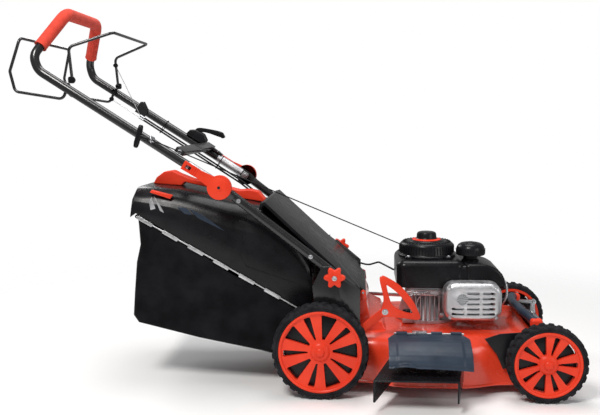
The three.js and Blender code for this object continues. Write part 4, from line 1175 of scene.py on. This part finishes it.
def make_starter():
    refined("cable_bracket", 1.2, 3)
    ring = [(EYE[0] + 2 * math.sin(0.6 * k / 6), EYE[1] + 8 * math.cos(math.pi * k / 12),
             EYE[2] + 8 * math.sin(math.pi * k / 12)) for k in range(25)]
    eye = rod_piece("rope_eye", ring, 2.4, "rope_guide", "steel")
    stud = lathe("stud", [(0.1, -231), (4, -231), (4, -226), (8, -226), (8, -225.4), (0.1, -225.4)],
                 (EYE[0], 0, EYE[2]), "Y", 32)
    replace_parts(joined(eye, [stud]), "rope_guide")
    screw("guide_nut", (EYE[0], -226, EYE[2]), "rope_guide", "Y", 6, 4, -1)
    bar = lathe("handle_bar", [(0.1, -31), (4, -30.6), (6, -28), (7.6, -18), (7.2, 0), (7.6, 18), (6, 28),
                               (4, 30.6), (0.1, 31)], (0, 0, 0), "Z", 48)
    bar.data.transform(Matrix.Translation(-ORIGIN))
    bar.data.transform(Matrix.Translation(at(-474, EYE[1], 690)) @ turn(17, "Y"))
    nose = lathe("nose", [(0.1, 0), (6.5, 0), (5.4, 7), (3.4, 22), (0.1, 22)], (0, 0, 0), "Z", 32)
    nose.data.transform(Matrix.Translation(-ORIGIN))
    nose.data.transform(Matrix.Translation(at(-470, EYE[1], 689)) @ turn(107, "Y"))
    stand_for(smooth(joined(bar, [nose]), 40), "starter_grip")
    start, end = (EYE[0] + 7, EYE[1], EYE[2] - 3), (-464, EYE[1], 687)
    fine = [Vector(start) + (Vector(end) - Vector(start)) * (k / 6) for k in range(7)]
    pulled = sweep("rope_to_grip", fine, 1.6, 12)
    stretches(pulled, SLOT_OF["starter_rope"], "upper_handle", "starter_handle", at(*start), at(*end))


def cord_piece(name, points, radius, bend, node):
    """A cable that the mower holds all the way."""
    path = rounded_path(points, bend, 8)
    fine = []
    for a, b in zip(path, path[1:]):
        count = max(int((b - a).length / 8), 1)
        fine += [a + (b - a) * k / count for k in range(count)]
    cable = sweep(name, fine + [path[-1]], radius, 12)
    cable.data.materials.append(MATERIALS[SLOT_OF[node]])
    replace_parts(cable, node)
    return cable


def along_arm(function, along, above, y=194):
    x, z = function(along, above)
    return (x, y, z)


def make_cables():
    brake = [along_arm(upper, 366, -17), along_arm(upper, 0, -19), along_arm(lower, 200, -19),
             along_arm(lower, 380, -14), (122, 194, 268), (160, 140, 290), (202.5, 70, 280)]
    drive = [along_arm(upper, 366, -24), along_arm(upper, 0, -27), along_arm(lower, 200, -27),
             along_arm(lower, 370, -24), (112, 194, 236), (126, 172, 206), (126, 153.5, 186)]
    low, high = at(*along_arm(lower, 70, 0)), at(*along_arm(upper, 70, 0))
    for name, points in (("brake_cable", brake), ("drive_cable", drive)):
        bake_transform(cord_piece(f"{name}_sleeve", points, 2.8, 40, name))
        ferrule = [Vector(points[0]),
                   Vector(points[0]) + (Vector(points[0]) - Vector(points[1])).normalized() * 16]
        dress(sweep(f"{name}_ferrule", ferrule, 3.6, 20), "cable_bracket", "steel")
    rope = [(-434, EYE[1], 678), (223, -36, 372)]
    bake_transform(cord_piece("starter_rope_twist", rope, 1.6, 10, "starter_rope"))
    for name, place, node, stations in (("upper", upper, "upper_tube", (90, 300)),
                                        ("lower", lower, "lower_tube_left", (150, 330))):
        for along in stations:
            loop = [along_arm(place, along, above, y) for above, y in
                    ((13.6, 207), (13.6, 219), (4, 226.6), (-8, 224), (-26, 204), (-31, 194), (-26, 189.6),
                     (-13, 189.6), (4, 199.4), (13.6, 207))]
            dress(sweep(f"{name}_tie_{along}", rounded_path(loop, 4, 3), 1.3, 8), node, "black_plastic")


def make_inner_wires():
    """The thin steel wires between each bail and its cable."""
    for name, start in (("front_bail", (-667, 195.5, 905)), ("rear_bail", (-684, 195.5, 800))):
        x, y, z = along_arm(upper, 382, -17 if name == "front_bail" else -24)
        wire = sweep(f"{name}_inner_wire", rounded_path([start, (x, y, z)], 5), 1.1, 10)
        stretches(wire, "guard", "upper_handle", name, at(x, y, z), at(*start))
        clamp = lathe(f"{name}_clamp", [(0.1, -5.5), (6, -5.5), (6.6, -4.5), (6.6, 4.5), (6, 5.5),
                                        (0.1, 5.5)],
                      start, "Y", 28)
        dress(smooth(clamp, 40), name, "black_plastic")


def make_arm_trim():
    """Light aluminium caps over the flattened tube ends beside the cam levers, whose pale grey is partly a
    painted highlight along the tube tops, and the cam's pivot buttons.
    """
    for name, side in SIDES:
        sleeve = [Vector((x, side * ARM_Y, z)) for x, z in (upper(14, 0), upper(104, 0))]
        # The pale sleeve is partly a real cap and partly a painted highlight along the top of the tube.
        dress(sweep(f"arm_sleeve_{name}", sleeve, TUBE_RADIUS + 1.1, 32), "upper_tube", "aluminium")
        button = lathe(f"cam_button_{name}", [(0.1, side * 247), (9, side * 247), (8.4, side * 248.6),
                                              (0.1, side * 249)], (FOLD[0], 0, FOLD[1]), "Y", 40)
        dress(smooth(button, 40), f"cam_lever_{name}")


make_tubes()
make_bails()
make_cam_levers()
make_star_knobs()
make_console()
make_starter()
make_cables()
make_inner_wires()
make_arm_trim()


# ---------------------------------------------------------------- grass bag and rear door
BAG_SIDE = 172
LID_TOP = ((-24, 300), (-32, 350), (-44, 392), (-72, 428), (-108, 462), (-150, 486), (-200, 497), (-250, 505),
           (-320, 522), (-400, 540), (-460, 546), (-512, 548), (-520, 532), (-524, 505))
LID_FOOT = ((-508, 479), (-54, 216), (-24, 216))


def lid_drop(y):
    """How far the lid's top edge falls at a distance from the middle."""
    away = min(abs(y), BAG_SIDE)
    if away <= 118:
        return 0.0
    return 34 * ((away - 118) / 42) ** 1.7 if away < 160 else 34 + 40 * (away - 160) / 12


def lid_ring(y, inset=0.0):
    drop = lid_drop(y)
    low = [(x + (inset if x < -400 else 0), z - (16 if inset else 0)) for x, z in LID_FOOT]
    top = []
    for x, z in LID_TOP:
        share = 1.0 if x > -200 else 1.0 - 0.5 * min((-x - 200) / 312, 1)
        front = 0 if z <= 300 else min((z - 300) / 86, 1)
        top.append((min(x, -24 - (0.5 + inset)), z - inset - drop * share * front))
    return [at(x, y, z) for x, z in low + top]


def make_lid():
    places = [-BAG_SIDE, -170, -166, -160, -152, -144, -136, -128, -118, -60, 0, 60, 118, 128, 136, 144, 152,
              160,
              166, 170, BAG_SIDE]
    shell = rings_to_object("bag_lid_shell", [lid_ring(y) for y in places])
    inner = [y * (BAG_SIDE - 4) / BAG_SIDE for y in places]
    boolean(shell, [rings_to_object("inside", [lid_ring(y, 4) for y in inner])])
    stand_for(smooth(bevelled(shell, 1.0, 2, 40), 32), "bag_lid")
    for name, side in SIDES:
        # Raised wedges for the lid's zig-zag decor slots; their light grey and blue-grey colours are painted
        # reflections, lighter on the two rear wedges.
        for k, wedge in enumerate((((-470, 512), (-462, 524), (-452, 492), (-466, 488)),
                                   ((-456, 526), (-446, 514), (-428, 480), (-440, 486)),
                                   ((-392, 496), (-366, 494), (-352, 474), (-372, 478)),
                                   ((-358, 492), (-322, 474), (-262, 430), (-336, 466)))):
            outline = prism(f"lid_vent_{name}_{k}", wedge, beside(side, 171.4, 172.6), "Y")
            dress(bevelled(outline, 0.5, 2), "bag_lid", "guard" if k < 2 else "grey_plastic")
        for k in range(24):
            row, column = divmod(k, 6)
            x, z = -316 + 13 * column - 4 * row, 424 - 8 * column - 11 * row
            dot = rod(f"lid_dot_{name}_{k}", 1.7, (side * 171.6, side * 172.5), (x, 0, z), "Y", 12)
            dress(dot, "bag_lid", "black_rubber")
        edge = [Vector((x, side * 172.4, z)) for x,
                z in ((-216, 428), (-214, 398), (-222, 362), (-206, 334), (-70, 288))]
        dress(sweep(f"lid_parting_{name}", rounded_path(edge, 20, 5), 0.8, 8), "bag_lid")


def make_bag_handle():
    refined("bag_handle", 4.5, 6, 25)
    for name, side in SIDES:
        flash = prism(f"lid_flash_{name}", [(-468, 536), (-462, 543), (-404, 528), (-412, 518)],
                      beside(side, 158, 171), "Y")
        dress(bevelled(flash, 2, 3), "bag_lid", "red_plastic")


FABRIC_SIDE = ((-505, 474), (-503, 450), (-500, 392), (-512, 343), (-520, 264), (-526, 193), (-512, 172),
               (-340, 130), (-172, 97), (-139, 89), (-70, 116), (-24, 150), (-24, 214), (-54, 213))
FABRIC_MIDDLE = (-262, 290)
FRAME_ROUND = 14  # how far the cloth turns in over the wire frame at each side
CLOTH_SLACK = 0.002  # how much larger than its frame the cloth is cut
CLOTH_FRAMES = 30
PANEL_RINGS = 18
PANEL_WELD = 0.0004  # metres within which the panels' edges are sewn together
STRIP_CORNERS = 12  # the outline's corners that belong to the back and underside
RAIL_REAR, RAIL_FRONT = (-505, 474), (-54, 213)
HELD_BELOW_RAIL = 14


def drawn_in(x, z, distance):
    """The outline point moved towards the middle of the side."""
    inward = Vector((FABRIC_MIDDLE[0] - x, FABRIC_MIDDLE[1] - z))
    if inward.length < 1:
        return x, z
    inward.normalize()
    return x + inward.x * distance, z + inward.y * distance


def cloth_strip(outline, places):
    """The back and underside, from the lid's rear edge round to the mouth, left open above."""
    rows = []
    for y in places:
        edge = max(abs(y) - (BAG_SIDE - 12), 0) / 12
        inward = FRAME_ROUND * (1 - math.sqrt(max(1 - edge * edge, 0)))
        rows.append([at(point[0], y, point[1]) for point in (drawn_in(x, z, inward) for x, z in outline)])
    return rows


def cloth_panel(outline, side):
    """One side, as rings that shrink to its middle."""
    rings = []
    for k in range(PANEL_RINGS):
        t = 1 - k / PANEL_RINGS
        ring = []
        for x, z in outline:
            px = FABRIC_MIDDLE[0] + (x - FABRIC_MIDDLE[0]) * t
            pz = FABRIC_MIDDLE[1] + (z - FABRIC_MIDDLE[1]) * t
            px, pz = drawn_in(px, pz, FRAME_ROUND * t ** 6)
            ring.append(at(px, side * (BAG_SIDE - 3 * (1 - t ** 6)), pz))
        rings.append(ring)
    return rings


def cloth_mesh():
    """The bag's cloth as one open surface, before it hangs."""
    lower_edge = divided(FABRIC_SIDE[:STRIP_CORNERS])
    upper_edge = divided((*FABRIC_SIDE[STRIP_CORNERS - 1:], FABRIC_SIDE[0]))
    around = lower_edge + upper_edge[1:-1]
    places = [-172, -171, -168, -163] + [-156 + 12 * k for k in range(27)] + [163, 168, 171, 172]
    verts, faces = [], []

    def add_grid(rows, wraps):
        first, width = len(verts), len(rows[0])
        for row in rows:
            verts.extend(row)
        for j in range(len(rows) - 1):
            for i in range(width if wraps else width - 1):
                a, b = first + j * width + i, first + j * width + (i + 1) % width
                faces.append((a, b, b + width, a + width))
        return first + (len(rows) - 1) * width

    add_grid(cloth_strip(lower_edge, places), False)
    for _, side in SIDES:
        last = add_grid(cloth_panel(around, side), True)
        faces.append(tuple(range(last, last + len(around))))
    mesh = bpy.data.meshes.new("bag_cloth")
    mesh.from_pydata([tuple(point) for point in verts], [], faces)
    with edited(mesh) as work:
        bmesh.ops.remove_doubles(work, verts=work.verts, dist=PANEL_WELD)
        bmesh.ops.recalc_face_normals(work, faces=work.faces)
    return mesh


def divided(points, step=11):
    """The outline with its straight runs cut into pieces of about a step, in millimetres."""
    out = []
    for a, b in zip(points, points[1:]):
        count = max(int(math.dist(a, b) / step), 1)
        out += [(a[0] + (b[0] - a[0]) * k / count, a[1] + (b[1] - a[1]) * k / count) for k in range(count)]
    return out + [points[-1]]


def cloth_cut():
    """The piece that the strip and both sides are cut from, (width, length) in metres, and their area."""
    strip = FABRIC_SIDE[:STRIP_CORNERS]
    run = sum(math.dist(a, b) for a, b in zip(strip, strip[1:])) * MM
    closed = zip(FABRIC_SIDE, FABRIC_SIDE[1:] + FABRIC_SIDE[:1])
    side = abs(sum(a[0] * b[1] - b[0] * a[1] for a, b in closed)) / 2 * MM * MM
    width, height = (max(values) * MM - min(values) * MM for values in zip(*FABRIC_SIDE))
    across = 2 * BAG_SIDE * MM
    return (max(2 * width, run), height + across), run * across + 2 * side


def hang(cloth):
    """Lets the cloth fall into its folds, held by the rail, the mouth and the wire frame at each side."""
    held = cloth.vertex_groups.new(name="held")
    top_rear, top_front = (at(x, 0, z) for x, z in (RAIL_REAR, RAIL_FRONT))
    for vertex in cloth.data.vertices:
        across = abs(vertex.co.y - ORIGIN.y) / MM
        share = (vertex.co.x - top_rear.x) / (top_front.x - top_rear.x)
        below_rail = (top_rear.z + (top_front.z - top_rear.z) * min(max(share, 0), 1) - vertex.co.z) / MM
        at_frame = across > BAG_SIDE - 12 and across < BAG_SIDE - 0.5
        if at_frame or below_rail < HELD_BELOW_RAIL or vertex.co.x > at(-40, 0, 0).x:
            held.add([vertex.index], 1.0, "REPLACE")
    modifier = cloth.modifiers.new("hang", "CLOTH")
    settings = modifier.settings
    settings.vertex_group_mass = "held"
    settings.quality = 6
    settings.mass = 0.25
    settings.tension_stiffness = settings.compression_stiffness = 40
    settings.bending_stiffness = 0.3
    settings.shrink_min = -CLOTH_SLACK
    modifier.collision_settings.use_collision = False
    modifier.point_cache.frame_start, modifier.point_cache.frame_end = 1, CLOTH_FRAMES
    scene = bpy.context.scene
    for frame in range(1, CLOTH_FRAMES + 1):
        scene.frame_set(frame)
    hung = bpy.data.meshes.new_from_object(cloth.evaluated_get(bpy.context.evaluated_depsgraph_get()))
    cloth.modifiers.clear()
    cloth.data = hung
    scene.frame_set(1)


def make_fabric():
    cloth = link("bag_cloth", cloth_mesh())
    hang(cloth)
    stand_for(smooth(cloth, 60), "bag_fabric")
    flat, area = cloth_cut()


def make_bag_trim():
    for name, side in SIDES:
        rail = [Vector((-505, side * 173.6, 470)), Vector((-300, side * 173.6, 356)),
                Vector((-56, side * 173.6, 214))]
        dress(sweep(f"bag_piping_{name}", rounded_path(rail, 60, 4), 2.2, 12), "bag_fabric", "guard")
        for k in range(6):
            t = 0.05 + 0.155 * k
            x, z = -505 + 449 * t, 470 - 256 * t
            clip = crowned_block(f"bag_clip_{name}_{k}", (x - 24, x + 24), (z - 5, z + 5),
                                 beside(side, 171.4, 176), 1.6, 1, 1, "Y", 3)
            pivot = at(x, 0, z)
            clip.data.transform(Matrix.Translation(pivot) @ turn(29.7, "Y") @ Matrix.Translation(-pivot))
            dress(smooth(clip), "bag_lid", "guard")
    back = [Vector((-506, y, 470)) for y in (-168, -84, 0, 84, 168)]
    dress(sweep("bag_rail_rear", back, 5.5, 16), "bag_lid")


make_lid()
make_bag_handle()
make_fabric()
make_bag_trim()
refined("rear_door", 2.2, 4, 30)


# ---------------------------------------------------------------- pieces in their own CAD shape
EDGE_WIDTHS = {
    "engine_block": 1.2, "muffler": 3, "carburettor": 1.5, "gearbox": 3, "gearbox_pulley": 0.6,
    "crankshaft": 0.6, "flywheel": 0.8, "blade": 0.8, "belt_cover": 1.5, "drive_belt": 0.6,
}
for node in NODES:
    if not NODES[node].hide_render:
        refined(node, EDGE_WIDTHS.get(node, 1.4))
